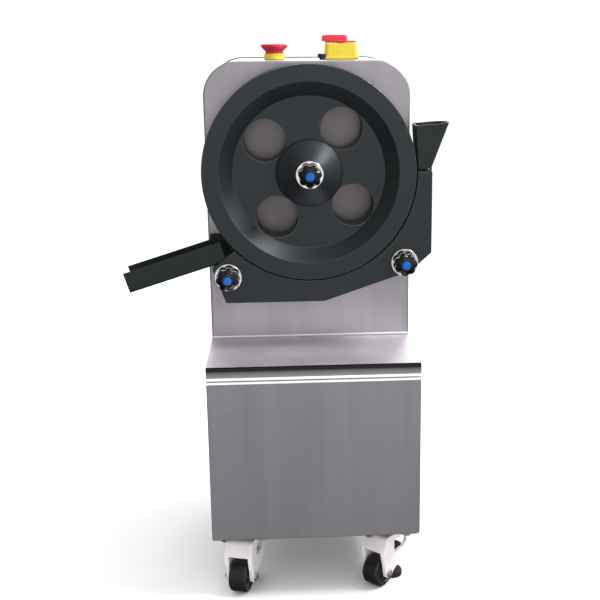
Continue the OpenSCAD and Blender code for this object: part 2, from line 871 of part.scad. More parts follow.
// A pan head screw that points down its own Z, with its head's seat at z = 0
module pan_screw(len) {
    rotate_extrude($fn = 32) polygon([
        [0, -len], [2, -len], [2, 0.05], [4, 0.05], [4, 1.6], [2.8, 2.6], [0, 2.8]
    ]);
}

module hex_bolt(len) {
    translate([0, 0, -len]) cylinder(r = 4, h = len + 1);
    translate([0, 0, 0.1]) cylinder(r = 7, h = 5, $fn = 6);
}

module screws() {
    color("silver") place() {
        for (p = tower_screw_points) translate([p.x, tower_d + 2 * sheet_t, ledge_z + p.y])
            rotate([-90, 0, 0]) pan_screw(8);
        for (p = base_screw_points) translate([p.x, base_back_y + sheet_t, caster_h + p.y])
            rotate([-90, 0, 0]) pan_screw(7);
        for (p = bracket_screw_points) facing_front(p.x, p.y) translate([0, 0, bracket_t]) pan_screw(8);
        translate([right_corner.x + 1.8, -37, concave_top - 7]) rotate([0, 90, 0]) pan_screw(1.4);
        for (i = [0:5]) facing_front(0, rotor_z) rotate(60 * i + 30)
            translate([housing_bolt_r, 0, -34]) mirror([0, 0, 1]) hex_bolt(11.6);
    }
}

base_cabinet();
ledge_cover();
front_panel();
base_rear_cover();
tower_shell();
tower_rear_cover();
rear_gasket();
screws();
drive_plate();
spindle_housing();
spindle_bearings();
main_shaft();
driven_pulley();
timing_belt();
drive_pulley();
gearbox();
motor();
control_box();
rotor_drum();
rotor_hub();
rotor_washer();
rotor_knob();
rotor_knob_cap();
concave_cheeks();
concave_channel();
concave_fixings();
left_knob();
left_knob_cap();
right_knob();
right_knob_cap();
hopper();
chute();
chute_bracket();
estop_base();
estop_button();
isolator_base();
isolator_handle();
reset_button();
power_gland();
caster_plates();
caster_fork(0);  // caster_fork_fl
caster_fork(1);  // caster_fork_fr
caster_fork(2);  // caster_fork_rl
caster_fork(3);  // caster_fork_rr
caster_wheel(0);  // caster_wheel_fl
caster_wheel(1);  // caster_wheel_fr
caster_wheel(2);  // caster_wheel_rl
caster_wheel(3);  // caster_wheel_rr
caster_axle(0);  // caster_axle_fl
caster_axle(1);  // caster_axle_fr
caster_axle(2);  // caster_axle_rl
caster_axle(3);  // caster_axle_rr
leveling_foot(0);  // leveling_foot_fl
leveling_foot(1);  // leveling_foot_fr
leveling_foot(2);  // leveling_foot_rl
leveling_foot(3);  // leveling_foot_rr
thumbwheel(0);  // thumbwheel_fl
thumbwheel(1);  // thumbwheel_fr
thumbwheel(2);  // thumbwheel_rl
thumbwheel(3);  // thumbwheel_rr
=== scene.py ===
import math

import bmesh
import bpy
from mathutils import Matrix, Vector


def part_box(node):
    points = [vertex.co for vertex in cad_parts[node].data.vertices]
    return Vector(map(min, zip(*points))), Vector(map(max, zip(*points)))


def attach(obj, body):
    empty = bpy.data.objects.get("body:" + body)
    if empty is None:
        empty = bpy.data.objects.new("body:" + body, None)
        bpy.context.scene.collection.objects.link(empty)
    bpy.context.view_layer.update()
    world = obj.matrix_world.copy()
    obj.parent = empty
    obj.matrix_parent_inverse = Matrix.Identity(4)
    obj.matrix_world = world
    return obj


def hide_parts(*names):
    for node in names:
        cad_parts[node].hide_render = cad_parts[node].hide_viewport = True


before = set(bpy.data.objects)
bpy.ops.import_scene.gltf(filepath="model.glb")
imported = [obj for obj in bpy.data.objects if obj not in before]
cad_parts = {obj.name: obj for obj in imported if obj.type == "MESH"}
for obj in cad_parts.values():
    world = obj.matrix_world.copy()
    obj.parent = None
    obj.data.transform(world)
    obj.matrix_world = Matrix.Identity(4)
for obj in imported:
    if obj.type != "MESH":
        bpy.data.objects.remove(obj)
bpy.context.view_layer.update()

# Looks of a small rotor-and-concave tablet machine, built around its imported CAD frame.
# Shapes are drawn in millimetres and carried into the frame by one of these matrices:
# FRONT: zero where the rotor's axis meets the tower's front; X right, Y up, Z out of the tower.
# FLOOR: zero on the floor below the tower's front; X right, Y to the back, Z up.
# SIDE: FLOOR seen from the right; X to the back, Y up, Z right.

MM = 0.001
tower_lo, tower_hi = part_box("tower_shell")
drum_lo, drum_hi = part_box("rotor_drum")
axis_x = (drum_lo.x + drum_hi.x) / 2
axis_z = (drum_lo.z + drum_hi.z) / 2
front_y = tower_lo.y

FRONT = Matrix(((MM, 0, 0, axis_x), (0, 0, -MM, front_y), (0, MM, 0, axis_z), (0, 0, 0, 1)))
FLOOR = Matrix(((MM, 0, 0, axis_x), (0, MM, 0, front_y), (0, 0, MM, 0), (0, 0, 0, 1)))
SIDE = Matrix(((0, 0, MM, axis_x), (MM, 0, 0, front_y), (0, MM, 0, 0), (0, 0, 0, 1)))


def span(node, axis):
    """How far a CAD node reaches along an axis, from low to high, in millimetres from FLOOR's zero."""
    origin = (axis_x, front_y, 0.0)
    low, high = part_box(node)
    return (low[axis] - origin[axis]) / MM, (high[axis] - origin[axis]) / MM


# ---- sizes, in millimetres ----

SHEET = 2.0
LEDGE = tower_lo.z / MM
TOP = tower_hi.z / MM
AXIS = axis_z / MM
TOWER_W = (tower_hi.x - tower_lo.x) / MM
TOWER_D = (tower_hi.y - tower_lo.y) / MM
TOWER_H = TOP - LEDGE
TOWER_CORNER = 54.0
LEDGE_V = LEDGE - AXIS
BASE_HALF = span("base_cabinet", 0)[1]
BASE_FRONT, BASE_BACK = span("base_cabinet", 1)
BASE_LOW, BASE_HIGH = span("base_cabinet", 2)
LIP_FRONT = span("ledge_cover", 1)[0]
LIP_LOW = span("ledge_cover", 2)[0]
DOOR_LOW, DOOR_HIGH = span("front_panel", 2)

ROTOR_R = (drum_hi.x - drum_lo.x) / 2 / MM
RIM_T = (front_y - drum_lo.y) / MM
WEB_T = 48.8
ROTOR_BACK = 8.0
RIM_IN_R = 138.8
WEB_R = 117.5
HOLE_R = 32.7
HOLE_RING_R = 84.4
HOLE_TURN = 53.2
HOLES = 4
HUB_R = 49.5
HUB_TOP = 75.0
SHAFT_R = 12.5
WASHER_R = 21.5
WASHER_T = 3.0
KNOB_H = 27.0
LEFT_KNOB = (-129.3, -159.2)
RIGHT_KNOB = (147.0, -140.5)

CONCAVE_R = 167.0
CHANNEL_R = 178.0
CONCAVE_BACK = 6.0
CONCAVE_T = 65.6
CHANNEL_FROM, CHANNEL_TO = 19.0, 53.0
CONCAVE_TOP = 1.5
TIP = (-118.0, -118.0)
LEFT_CORNER = (-153.3, -146.0)
LOW_LEFT = (-133.4, -200.7)
LOW_MID = (20.5, -200.7)
LOW_RIGHT = (156.4, -155.2)
RIGHT_CORNER = (189.5, -126.0)
HOPPER_TOP = 75.0
HOPPER_LEFT, HOPPER_RIGHT = 163.5, 217.2
HOPPER_TILT = 4.2

CHUTE_SLOPE = math.radians(17.3)
CHUTE_WALL = 32.4
CHUTE_LEFT = span("chute", 0)[0]
CHUTE_START = (CHUTE_LEFT + CHUTE_WALL * math.sin(CHUTE_SLOPE), -182.0)
CHUTE_LENGTH = 158.3
CHUTE_SHEET = 1.6
CHUTE_BACK_T, CHUTE_FRONT_T = 4.0, 62.0

SWITCH_Y = 115.0
ESTOP_X, ISOLATOR_X = -50.0, 59.6
RESET = (27.0, 78.0)

LOUVRE_ROWS, LOUVRE_STEP, LOUVRE_W = 8, 14, 60
SCREW_X = 152
TOWER_SCREWS = [(side * SCREW_X, z) for side in (-1, 1) for z in (30, 150, 270, 385)]
BASE_SCREWS = [(side * SCREW_X, z) for side in (-1, 1) for z in (18, 100, 182, 262)]
BRACKET_SCREWS = [(-134, -105.7), (-124, -113.2)]
GLAND = (-105, 60)

CASTERS = {"fl": (-115.0, -108.0, -16.0), "fr": (115.0, -108.0, -43.0),
           "rl": (-115.0, 190.0, 150.0), "rr": (115.0, 190.0, 195.0)}
WHEEL_R = 25.0
WHEEL_OFF = 22.0
AXLE_Z = 26.0
AXLE_R = 5.0
FORK_TOP = 89.7
FORK_IN = 16.0
FORK_OUT = 23.0
FOOT_OFF = 18.0


# ---- finishes ----

WHITE = (1.0, 1.0, 1.0)
NOISE_LOW, NOISE_HIGH = 0.3, 0.7  # noise stays mostly between these


def new_node(tree, kind, **inputs):
    """A shader node with some of its inputs set, each from another node's output or to a value."""
    made = tree.nodes.new("ShaderNode" + kind)
    for name, value in inputs.items():
        socket = made.inputs[name.replace("_", " ")]
        if isinstance(value, bpy.types.NodeSocket):
            tree.links.new(value, socket)
        else:
            socket.default_value = value
    return made


def new_ramp(tree, value, stops):
    """A colour ramp over a value, its stops given as (place from 0 to 1, colour)."""
    made = new_node(tree, "ValToRGB", Fac=value)
    elements = made.color_ramp.elements
    while len(elements) < len(stops):
        elements.new(0.5)
    for element, (position, colour) in zip(elements, stops):
        element.position = position
        element.color = (*colour, 1)
    return made.outputs["Color"]


class Finish:
    """Builds one slot's node material on the piece's own coordinates, in metres."""

    def __init__(self, name, metallic=0.0, specular=0.5, tint=WHITE):
        self.material = bpy.data.materials.new(name)
        self.material.use_nodes = True
        self.tree = self.material.node_tree
        self.shader = self.tree.nodes["Principled BSDF"]
        self.shader.inputs["Metallic"].default_value = metallic
        self.shader.inputs["Specular IOR Level"].default_value = specular
        self.shader.inputs["Specular Tint"].default_value = (*tint, 1)
        self.place = self.node("TexCoord").outputs["Object"]

    def node(self, kind, **inputs):
        return new_node(self.tree, kind, **inputs)

    def link(self, source, target):
        self.tree.links.new(source, target)

    def parts(self, vector):
        return self.node("SeparateXYZ", Vector=vector).outputs

    def vector(self, operation, first, second=None):
        """Vector arithmetic; second is an output, or three numbers."""
        made = self.node("VectorMath")
        made.operation = operation
        self.link(first, made.inputs[0])
        if isinstance(second, bpy.types.NodeSocket):
            self.link(second, made.inputs[1])
        elif second:
            made.inputs[1].default_value = second
        return made.outputs

    def noise(self, scale, detail=3.0, place=None):
        """Noise between 0 and 1; scale is in cycles a metre along each axis."""
        spot = self.node("Mapping", Vector=place or self.place, Scale=scale).outputs["Vector"]
        return self.node("TexNoise", Vector=spot, Scale=1.0, Detail=detail).outputs["Fac"]

    def blend(self, a, b, share):
        """A mix of two values: b has this share, and a has the rest."""
        return self.node("Mix", Factor=share, A=a, B=b).outputs["Result"]

    def ranged(self, value, low, high, to_low=0.0, to_high=1.0):
        """Carries a value from one range to another."""
        limits = {"From_Min": low, "From_Max": high, "To_Min": to_low, "To_Max": to_high}
        return self.node("MapRange", Value=value, **limits)

    def colour(self, value, dark, light):
        ramp = new_ramp(self.tree, value, ((NOISE_LOW, dark), (NOISE_HIGH, light)))
        self.link(ramp, self.shader.inputs["Base Color"])

    def rough(self, value, low, high):
        spread = self.ranged(value, NOISE_LOW, NOISE_HIGH, low, high)
        self.link(spread.outputs["Result"], self.shader.inputs["Roughness"])

    def bump(self, value, depth):
        """Height detail, depth in millimetres."""
        node = self.node("Bump", Strength=1.0, Distance=depth * MM, Height=value)
        previous = self.shader.inputs["Normal"]
        if previous.is_linked:
            self.link(previous.links[0].from_socket, node.inputs["Normal"])
        self.link(node.outputs["Normal"], previous)

    def ring(self, near, far):
        """0 within a distance of the rotor's axis, rising to 1 at a farther one; in millimetres."""
        distance = self.parts(self.around(axis_x, axis_z))["X"]
        node = self.ranged(distance, near * MM, far * MM)
        node.interpolation_type = "SMOOTHSTEP"
        return node.outputs["Result"]

    def height(self, low, high):
        """0 at one height and 1 at a higher one; in millimetres."""
        return self.ranged(self.parts(self.place)["Z"], low * MM, high * MM).outputs["Result"]

    def tinted(self, value, *stops):
        """Multiplies the colour by a ramp of tints over a value."""
        base = self.shader.inputs["Base Color"]
        tint = new_ramp(self.tree, value, stops)
        self.link(self.vector("MULTIPLY", base.links[0].from_socket, tint)["Vector"], base)

    def facing_up(self):
        """1 on level faces and 0 on upright ones."""
        rise = self.parts(self.node("NewGeometry").outputs["True Normal"])["Z"]
        size = self.node("Math")
        size.operation = "ABSOLUTE"
        self.link(rise, size.inputs[0])
        return size.outputs["Value"]

    def around(self, x, z):
        """Coordinates that change only with distance from an axis along Y, and along that axis."""
        parts = self.parts(self.vector("SUBTRACT", self.place, (x, 0, z))["Vector"])
        flat = self.node("CombineXYZ", X=parts["X"], Y=parts["Z"]).outputs["Vector"]
        radius = self.vector("LENGTH", flat)["Value"]
        return self.node("CombineXYZ", X=radius, Y=parts["Y"]).outputs["Vector"]


def shade(colour, factor):
    return tuple(min(1.0, c * factor) for c in colour)


def brushed_steel(name, dark, light, rough, shade_behind_rotor=False):
    """Satin stainless sheet: grain along X on upright and on level faces, smudges and faint waviness.
    A painted shade darkens a round patch behind the rotor, where the rotor keeps light off the sheet."""
    f = Finish(name, metallic=1.0)
    upright = f.noise((5, 5, 1400), 4)
    level = f.noise((5, 1400, 5), 4)
    grain = f.blend(upright, level, f.facing_up())
    broad = f.noise((2.2, 2.2, 0.8), 2)
    bands = f.noise((26, 26, 0.7), 3)
    streaks = f.noise((60, 60, 3.5), 4)
    tone = f.blend(f.blend(f.blend(grain, broad, 0.4), bands, 0.3), streaks, 0.25)
    f.colour(tone, dark, light)
    smudge = f.noise((17, 17, 11), 4)
    f.rough(f.blend(grain, smudge, 0.55), *rough)
    # painted shade: a darker round patch on the sheet behind the rotor
    if shade_behind_rotor:
        f.tinted(f.ring(ROTOR_R - 22, ROTOR_R - 4), (0, (0.42, 0.41, 0.4)), (1, WHITE))
    f.bump(grain, 0.012)
    f.bump(f.noise((3.5, 3.5, 3.5), 1), 1.6)
    return f.material


def lip_steel(name):
    """The ledge's front lip: satin steel with painted shade, dark at its rounded top and lighter lower
    down.
    """
    f = Finish(name, metallic=1.0)
    grain = f.noise((5, 5, 1400), 4)
    f.colour(f.blend(grain, f.noise((26, 26, 0.7), 3), 0.4), (0.74, 0.71, 0.72), (0.92, 0.89, 0.9))
    f.rough(f.blend(grain, f.noise((17, 17, 11), 4), 0.55), 0.3, 0.44)
    # painted shade: the lip darkens towards its rounded top bend
    f.tinted(f.height(LIP_LOW, LEDGE), (0, (0.85, 0.84, 0.84)), (0.35, (0.56, 0.55, 0.55)),
             (0.58, (0.34, 0.335, 0.335)), (0.74, (0.05, 0.053, 0.055)), (1, (0.018, 0.019, 0.02)))
    f.bump(grain, 0.012)
    return f.material


def turned_black(name):
    """Satin black machined plastic, with the faint rings that turning leaves and a powdery cast."""
    f = Finish(name, specular=0.68, tint=(0.86, 0.96, 1.0))
    rings = f.noise((1500, 1500, 1), 2, f.around(axis_x, axis_z))
    powder = f.noise((420, 420, 420), 5)
    cast = f.noise((9, 9, 9), 4)
    fine = f.blend(rings, powder, 0.75)
    f.colour(f.blend(cast, fine, 0.6), (0.0022, 0.0038, 0.0045), (0.0075, 0.0105, 0.012))
    f.rough(f.blend(fine, cast, 0.4), 0.34, 0.52)
    f.bump(fine, 0.09)
    return f.material


def plain(name, colour, rough, contrast=0.12, mottle=12, grain=900, depth=0.02, metallic=0.0,
          specular=0.5, tint=WHITE):
    """A finish of one colour with mottling, fine grain in its gloss, and a shallow relief."""
    f = Finish(name, metallic, specular, tint)
    patch = f.noise((mottle, mottle, mottle), 4)
    fine = f.noise(grain if isinstance(grain, tuple) else (grain, grain, grain), 3)
    f.colour(f.blend(patch, fine, 0.3), shade(colour, 1 - contrast), shade(colour, 1 + contrast))
    f.rough(f.blend(fine, patch, 0.5), *rough)
    f.bump(fine, depth)
    return f.material


SATIN = ((0.37, 0.345, 0.38), (0.53, 0.50, 0.535), (0.30, 0.46))

# name: colour, range of roughness, contrast, mottle and grain in cycles a metre, relief in mm
PLAIN = {
    "burnished_black": ((0.02, 0.024, 0.026), (0.16, 0.3), 0.3, 40),
    "black_sheet": ((0.0055, 0.0085, 0.0085), (0.38, 0.54), 0.35, 12, 700, 0.06),
    "gloss_black": ((0.0022, 0.0022, 0.003), (0.05, 0.12), 0.3, 60, 260, 0.006),
    "blue_cap": ((0.0, 0.105, 0.42), (0.4, 0.5), 0.08, 90),
    "polished_steel": ((0.84, 0.82, 0.81), (0.05, 0.13), 0.06, 70, 500, 0.006),
    # painted highlight: off-white for rolled steel edges that catch the light
    "painted_highlight_edge": ((0.84, 0.82, 0.84), (0.24, 0.34), 0.04, 30),
    "machined_steel": ((0.55, 0.54, 0.53), (0.22, 0.36), 0.12, 12, (90, 1600, 90), 0.01),
    "zinc_steel": ((0.66, 0.66, 0.62), (0.25, 0.42), 0.12, 45, 900, 0.01),
    "red_plastic": ((0.6, 0.022, 0.045), (0.16, 0.28), 0.07, 40),
    "yellow_plastic": ((0.74, 0.58, 0.035), (0.2, 0.34), 0.06, 40),
    "navy_plastic": ((0.006, 0.009, 0.05), (0.2, 0.32), 0.15, 80),
    "black_plastic": ((0.012, 0.012, 0.012), (0.34, 0.5), 0.25, 60, 900, 0.03),
    "black_rubber": ((0.013, 0.013, 0.013), (0.62, 0.82), 0.3, 50, 900, 0.05),
    "caster_white": ((0.69, 0.655, 0.65), (0.34, 0.48), 0.06, 28, 520, 0.03),
    "wheel_black": ((0.009, 0.0095, 0.010), (0.28, 0.5), 0.4, 90, 420, 0.08),
    "cast_grey": ((0.25, 0.26, 0.28), (0.5, 0.7), 0.12, 40, 380, 0.16),
    "motor_blue": ((0.085, 0.12, 0.16), (0.4, 0.58), 0.12, 35, 400, 0.12),
    "plate_alu": ((0.68, 0.68, 0.7), (0.28, 0.42), 0.08, 12, (60, 60, 1300), 0.01),
    "box_grey": ((0.56, 0.57, 0.56), (0.4, 0.52), 0.05, 20, 600, 0.04),
}
METALS = ("polished_steel", "machined_steel", "zinc_steel", "plate_alu")
SPECULAR = {"burnished_black": 0.9, "blue_cap": 0.25, "painted_highlight_edge": 0.6}
TINTS = {"black_sheet": (0.84, 0.97, 1.0)}

FINISHES = {
    "stainless": brushed_steel("stainless", *SATIN),
    "tower_steel": brushed_steel("tower_steel", *SATIN, shade_behind_rotor=True),
    # painted light: the ledge's steel is a lighter copy of the tower's, for the overhead light its top
    # catches
    "lit_ledge_steel": brushed_steel("lit_ledge_steel", (0.84, 0.8, 0.85), (0.99, 0.94, 1.0), (0.5, 0.64)),
    "lip_steel": lip_steel("lip_steel"),
    "door_steel": brushed_steel("door_steel", (0.36, 0.345, 0.375), (0.53, 0.505, 0.545), (0.32, 0.46)),
    "black_drum": turned_black("black_drum"),
}
for finish, values in PLAIN.items():
    FINISHES[finish] = plain(finish, *values, metallic=float(finish in METALS),
                             specular=SPECULAR.get(finish, 0.5), tint=TINTS.get(finish, WHITE))


# ---- drawing ----

def circle(radius, centre=(0.0, 0.0), count=64):
    steps = [2 * math.pi * i / count for i in range(count)]
    return [(centre[0] + radius * math.cos(a), centre[1] + radius * math.sin(a)) for a in steps]


def arc(radius, start, end, count=40):
    """Points on a circle about zero, from one angle to another in degrees."""
    steps = [math.radians(start + (end - start) * i / count) for i in range(count + 1)]
    return [(radius * math.cos(a), radius * math.sin(a)) for a in steps]


def soften(points, radius, steps=3):
    """A closed outline with rounded corners; a point's third number is its own radius."""
    out = []
    for i, point in enumerate(points):
        here = Vector(point[:2])
        before = Vector(points[i - 1][:2]) - here
        after = Vector(points[(i + 1) % len(points)][:2]) - here
        bend = math.pi - before.angle(after)
        reach = (point[2] if len(point) > 2 else radius) * math.tan(bend / 2)
        reach = min(reach, 0.45 * before.length, 0.45 * after.length)
        if reach < 0.01:
            out.append(tuple(here))
            continue
        a = here + before.normalized() * reach
        b = here + after.normalized() * reach
        for k in range(steps + 1):
            t = k / steps
            out.append(tuple(a * (1 - t) ** 2 + here * 2 * t * (1 - t) + b * t ** 2))
    return out


def rounded_box(x0, x1, y0, y1, radius, steps=4):
    return soften([(x0, y0), (x1, y0), (x1, y1), (x0, y1)], radius, steps)


def hexagon(across):
    return circle(across / math.sqrt(3), count=6)


def as_mesh(bm, name="shape"):
    bmesh.ops.remove_doubles(bm, verts=bm.verts, dist=1e-4)
    bmesh.ops.recalc_face_normals(bm, faces=bm.faces)
    mesh = bpy.data.meshes.new(name)
    bm.to_mesh(mesh)
    bm.free()
    return mesh


def evaluated(obj):
    """The object's mesh after its modifiers; the object itself is removed."""
    bpy.context.view_layer.update()
    graph = bpy.context.evaluated_depsgraph_get()
    mesh = bpy.data.meshes.new_from_object(obj.evaluated_get(graph))
    bpy.data.objects.remove(obj)
    return mesh


def shown(data):
    obj = bpy.data.objects.new("draft", data)
    bpy.context.scene.collection.objects.link(obj)
    return obj


def plate(outline, low, high, edge=0.4, holes=(), curve_steps=1):
    """A flat plate between two heights, cut out around its holes, with rounded edges."""
    curve = bpy.data.curves.new("outline", "CURVE")
    curve.dimensions = "2D"
    curve.fill_mode = "BOTH"
    curve.extrude = (high - low) / 2 - edge
    curve.bevel_depth = edge
    curve.bevel_resolution = curve_steps
    curve.offset = -edge
    for line in [outline, *holes]:
        spline = curve.splines.new("POLY")
        spline.points.add(len(line) - 1)
        for point, (x, y) in zip(spline.points, line):
            point.co = (x, y, 0, 1)
        spline.use_cyclic_u = True
    mesh = evaluated(shown(curve))
    mesh.transform(Matrix.Translation((0, 0, (low + high) / 2)))
    bm = bmesh.new()
    bm.from_mesh(mesh)
    return as_mesh(bm)


def lathe(outline, segments=72):
    """A solid turned about Z from a closed outline of (radius, height); radius 0 is on the axis."""
    bm = bmesh.new()
    rings = []
    for radius, height in outline:
        if radius < 1e-6:
            rings.append([bm.verts.new((0, 0, height))])
        else:
            rings.append([bm.verts.new((x, y, height)) for x, y in circle(radius, count=segments)])
    bridge(bm, rings, segments)
    return as_mesh(bm)


def rod(radius, low, high, segments=48, edge=0.0):
    """A cylinder along Z."""
    outline = [(0, low), (radius, low), (radius, high), (0, high)]
    return lathe(soften(outline, edge) if edge else outline, segments)


def bridge(bm, rings, segments):
    """Faces between neighbouring rings of a closed run; a ring of one vertex is a pole."""
    for a, b in zip(rings, rings[1:] + rings[:1]):
        for i in range(segments):
            j = (i + 1) % segments
            if len(a) > 1 and len(b) > 1:
                bm.faces.new((a[i], a[j], b[j], b[i]))
            elif len(a) > 1:
                bm.faces.new((a[i], a[j], b[0]))
            elif len(b) > 1:
                bm.faces.new((a[0], b[j], b[i]))


def lobed(levels, lobes, per_lobe=16):
    """A lathe shape with lobes: levels are (height, radius between lobes, lobe height)."""
    segments = lobes * per_lobe
    bm = bmesh.new()
    rings = []
    for height, radius, lobe in levels:
        if radius < 1e-6:
            rings.append([bm.verts.new((0, 0, height))])
            continue
        ring = []
        for i in range(segments):
            a = 2 * math.pi * i / segments
            r = radius + lobe * (1 - (0.5 - 0.5 * math.cos(lobes * a)) ** 1.8)
            ring.append(bm.verts.new((r * math.cos(a), r * math.sin(a), height)))
        rings.append(ring)
    bridge(bm, rings, segments)
    return as_mesh(bm)


def loft(rings, closed):
    """A skin through rings of points, joined end to start if closed, or capped at both ends."""
    bm = bmesh.new()
    rows = [[bm.verts.new(p) for p in ring] for ring in rings]
    count = len(rows[0])
    for a, b in zip(rows, rows[1:] + (rows[:1] if closed else [])):
        for i in range(count):
            j = (i + 1) % count
            bm.faces.new((a[i], a[j], b[j], b[i]))
    if not closed:
        bm.faces.new(rows[0])
        bm.faces.new(rows[-1])
    return as_mesh(bm)


def block(x0, x1, y0, y1, z0, z1, edge=0.6, segments=2):
    """A box with rounded edges."""
    bm = bmesh.new()
    bmesh.ops.create_cube(bm, size=1.0)
    for v in bm.verts:
        v.co = ((x0, x1)[v.co.x > 0], (y0, y1)[v.co.y > 0], (z0, z1)[v.co.z > 0])
    if edge > 0:
        bmesh.ops.bevel(bm, geom=bm.edges[:], offset=edge, segments=segments, profile=0.5, affect="EDGES")
    return as_mesh(bm)


def moved(mesh, matrix):
    copy = mesh.copy()
    copy.transform(matrix)
    return copy


def shift(x, y, z):
    return Matrix.Translation((x, y, z))


def turn(degrees, axis="Z"):
    return Matrix.Rotation(math.radians(degrees), 4, axis)


TO_BACK = turn(-90, "X")


def boolean(mesh, tools, operation):
    """The mesh after taking the tools' volumes away, or adding them."""
    obj = shown(mesh)
    others = [shown(tool) for tool in tools]
    for other in others:
        modifier = obj.modifiers.new("tool", "BOOLEAN")
        modifier.object = other
        modifier.operation = operation
        modifier.solver = "EXACT"
    result = evaluated(obj)
    for other in others:
        bpy.data.objects.remove(other)
    bm = bmesh.new()
    bm.from_mesh(result)
    bmesh.ops.dissolve_degenerate(bm, edges=bm.edges, dist=1e-4)
    return as_mesh(bm)


def bevelled(mesh, width, angle=30, segments=2):
    """The mesh with its sharp edges rounded."""
    obj = shown(mesh)
    modifier = obj.modifiers.new("round", "BEVEL")
    modifier.width = width
    modifier.segments = segments
    modifier.limit_method = "ANGLE"
    modifier.angle_limit = math.radians(angle)
    return evaluated(obj)


def cut(mesh, *tools):
    return boolean(mesh, tools, "DIFFERENCE")


def fuse(mesh, *tools):
    return boolean(mesh, tools, "UNION")


def joined(meshes):
    """Separate solids in one mesh."""
    bm = bmesh.new()
    for mesh in meshes:
        bm.from_mesh(mesh)
    mesh = bpy.data.meshes.new("joined")
    bm.to_mesh(mesh)
    bm.free()
    return mesh


def front_faces(mesh):
    """Gives what faces forward on a section drawn from the side the second finish."""
    for face in mesh.polygons:
        face.material_index = 1 if face.normal.x < -0.22 and abs(face.normal.z) < 0.5 else 0
    return mesh


def burnish(mesh, clear=(0.0, 0.0)):
    """Gives the narrow faces that lean between its front and its sides the second finish;
    faces between two distances from the local axis are left."""
    for face in mesh.polygons:
        leaning = 0.2 < face.normal.z < 0.97
        far = math.hypot(face.center.x, face.center.y)
        face.material_index = 1 if leaning and not clear[0] < far < clear[1] else 0
    return mesh


def put(name, mesh, matrix, body, slot, replaced=(), finish=None, smooth=32, edges=None):
    """Adds a piece to the machine: in place, shaded, finished, and riding on its body."""
    mesh = moved(mesh, matrix)
    mesh.name = name
    bm = bmesh.new()
    bm.from_mesh(mesh)
    bmesh.ops.recalc_face_normals(bm, faces=bm.faces)
    bm.to_mesh(mesh)
    bm.free()
    kept = [face.material_index for face in mesh.polygons] if edges else None
    mesh.materials.clear()
    mesh.materials.append(FINISHES[finish or slot])
    if edges:
        mesh.materials.append(FINISHES[edges])
        mesh.polygons.foreach_set("material_index", kept)
    mesh.shade_smooth()
    mesh.set_sharp_from_angle(angle=math.radians(smooth))
    piece = bpy.data.objects.new(name, mesh)
    bpy.context.scene.collection.objects.link(piece)
    flat = piece.modifiers.new("flat faces stay flat", "WEIGHTED_NORMAL")
    flat.keep_sharp = True
    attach(piece, body)
    if replaced:
        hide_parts(*replaced)
    return piece


# ---- tower and base sheet metal ----

def tower_outline(inset, low, steps):
    """The tower's front view at an inset, down to a height."""
    half = TOWER_W / 2 - inset
    x0, y0 = TOWER_W / 2 - TOWER_CORNER, LEDGE_V + TOWER_H - TOWER_CORNER
    outline = [(-half, low), (half, low)]
    for side, start in ((1, 0), (-1, 90)):
        corner = arc(TOWER_CORNER - inset, start, start + 90, steps)
        outline += [(side * x0 + x, y0 + y) for x, y in corner]
    return outline


def tower():
    edge = 2.6
    low = LEDGE_V - 40
    back = -TOWER_D
    steps = [math.radians(18 * i) for i in range(6)]
    levels = [(edge * (1 - math.sin(a)), -edge * (1 - math.cos(a))) for a in steps]
    levels += [(0.0, back + 0.5), (0.5, back), (SHEET - 0.5, back), (SHEET, back + 0.5), (SHEET, -SHEET)]
    skin = loft([[(x, y, t) for x, y in tower_outline(inset, low, 20)] for inset, t in levels],
        closed=False)
    far = 400
    below = block(-far, far, low - 20, LEDGE_V, -far, far, edge=0)
    seam = block(-far, far, LEDGE_V - 1, LEDGE_V + 1.5, -1, 5, edge=0)
    holes = [moved(rod(r, -10, 10), shift(x, y, 0))
             for x, y, r in ((0, 0, 24), (*LEFT_KNOB, 5.5), (*RIGHT_KNOB, 5.5))]
    for x, y, r in ((ESTOP_X, SWITCH_Y, 11.3), (ISOLATOR_X, SWITCH_Y, 11.3), (*RESET, 4.3)):
        holes.append(moved(rod(r, -10, 10), shift(x, TOP - AXIS, -y) @ TO_BACK))
    put("tower_shell_skin", cut(skin, below, seam, *holes), FRONT, "stand", "stainless", ["tower_shell"],
        "tower_steel")


def edge_strip(name, y, z, height, proud, half):
    """A rolled sheet edge that runs across the front: a half-round metal strip, finished off-white as a
    painted highlight where the edge catches the light.
    """
    outline = [(0.25, -height / 2)]
    for i in range(9):
        a = math.radians(-90 + 22.5 * i)
        outline.append((-proud * math.cos(a), height / 2 * math.sin(a)))
    outline.append((0.25, height / 2))
    strip = plate(outline, -half, half, edge=0.1)
    put(name, moved(strip, shift(y, z, 0)), SIDE, "stand", "polished_steel", finish="painted_highlight_edge")


def ledge():
    back = TOWER_D
    front = LIP_FRONT + 0.6
    lip_back = LIP_FRONT + SHEET - 0.3
    outline = soften([
        (back, LEDGE), (front, LEDGE, 4.5), (front, LIP_LOW), (lip_back, LIP_LOW),
        (lip_back, LEDGE - SHEET, 2.6), (back, LEDGE - SHEET)], 0.5, 6)
    sheet = plate(outline, -BASE_HALF, BASE_HALF, edge=0.5)
    access = block(30, back - 30, LEDGE - 9, LEDGE + 9, -131, 131, edge=0)
    put("ledge_cover_sheet", front_faces(cut(sheet, access)), SIDE, "stand", "stainless", ["ledge_cover"],
        "lit_ledge_steel", edges="lip_steel")
    edge_strip("tower_hem", 0.0, LEDGE + 3.0, 2.8, 0.8, TOWER_W / 2 - 1)
    edge_strip("ledge_lip_hem", LIP_FRONT + 0.8, LIP_LOW + 2.3, 4.4, 0.75, BASE_HALF - 0.5)
    edge_strip("door_top_hem", LIP_FRONT + 2.5, DOOR_HIGH - 2.3, 4.4, 0.9, BASE_HALF - 0.5)


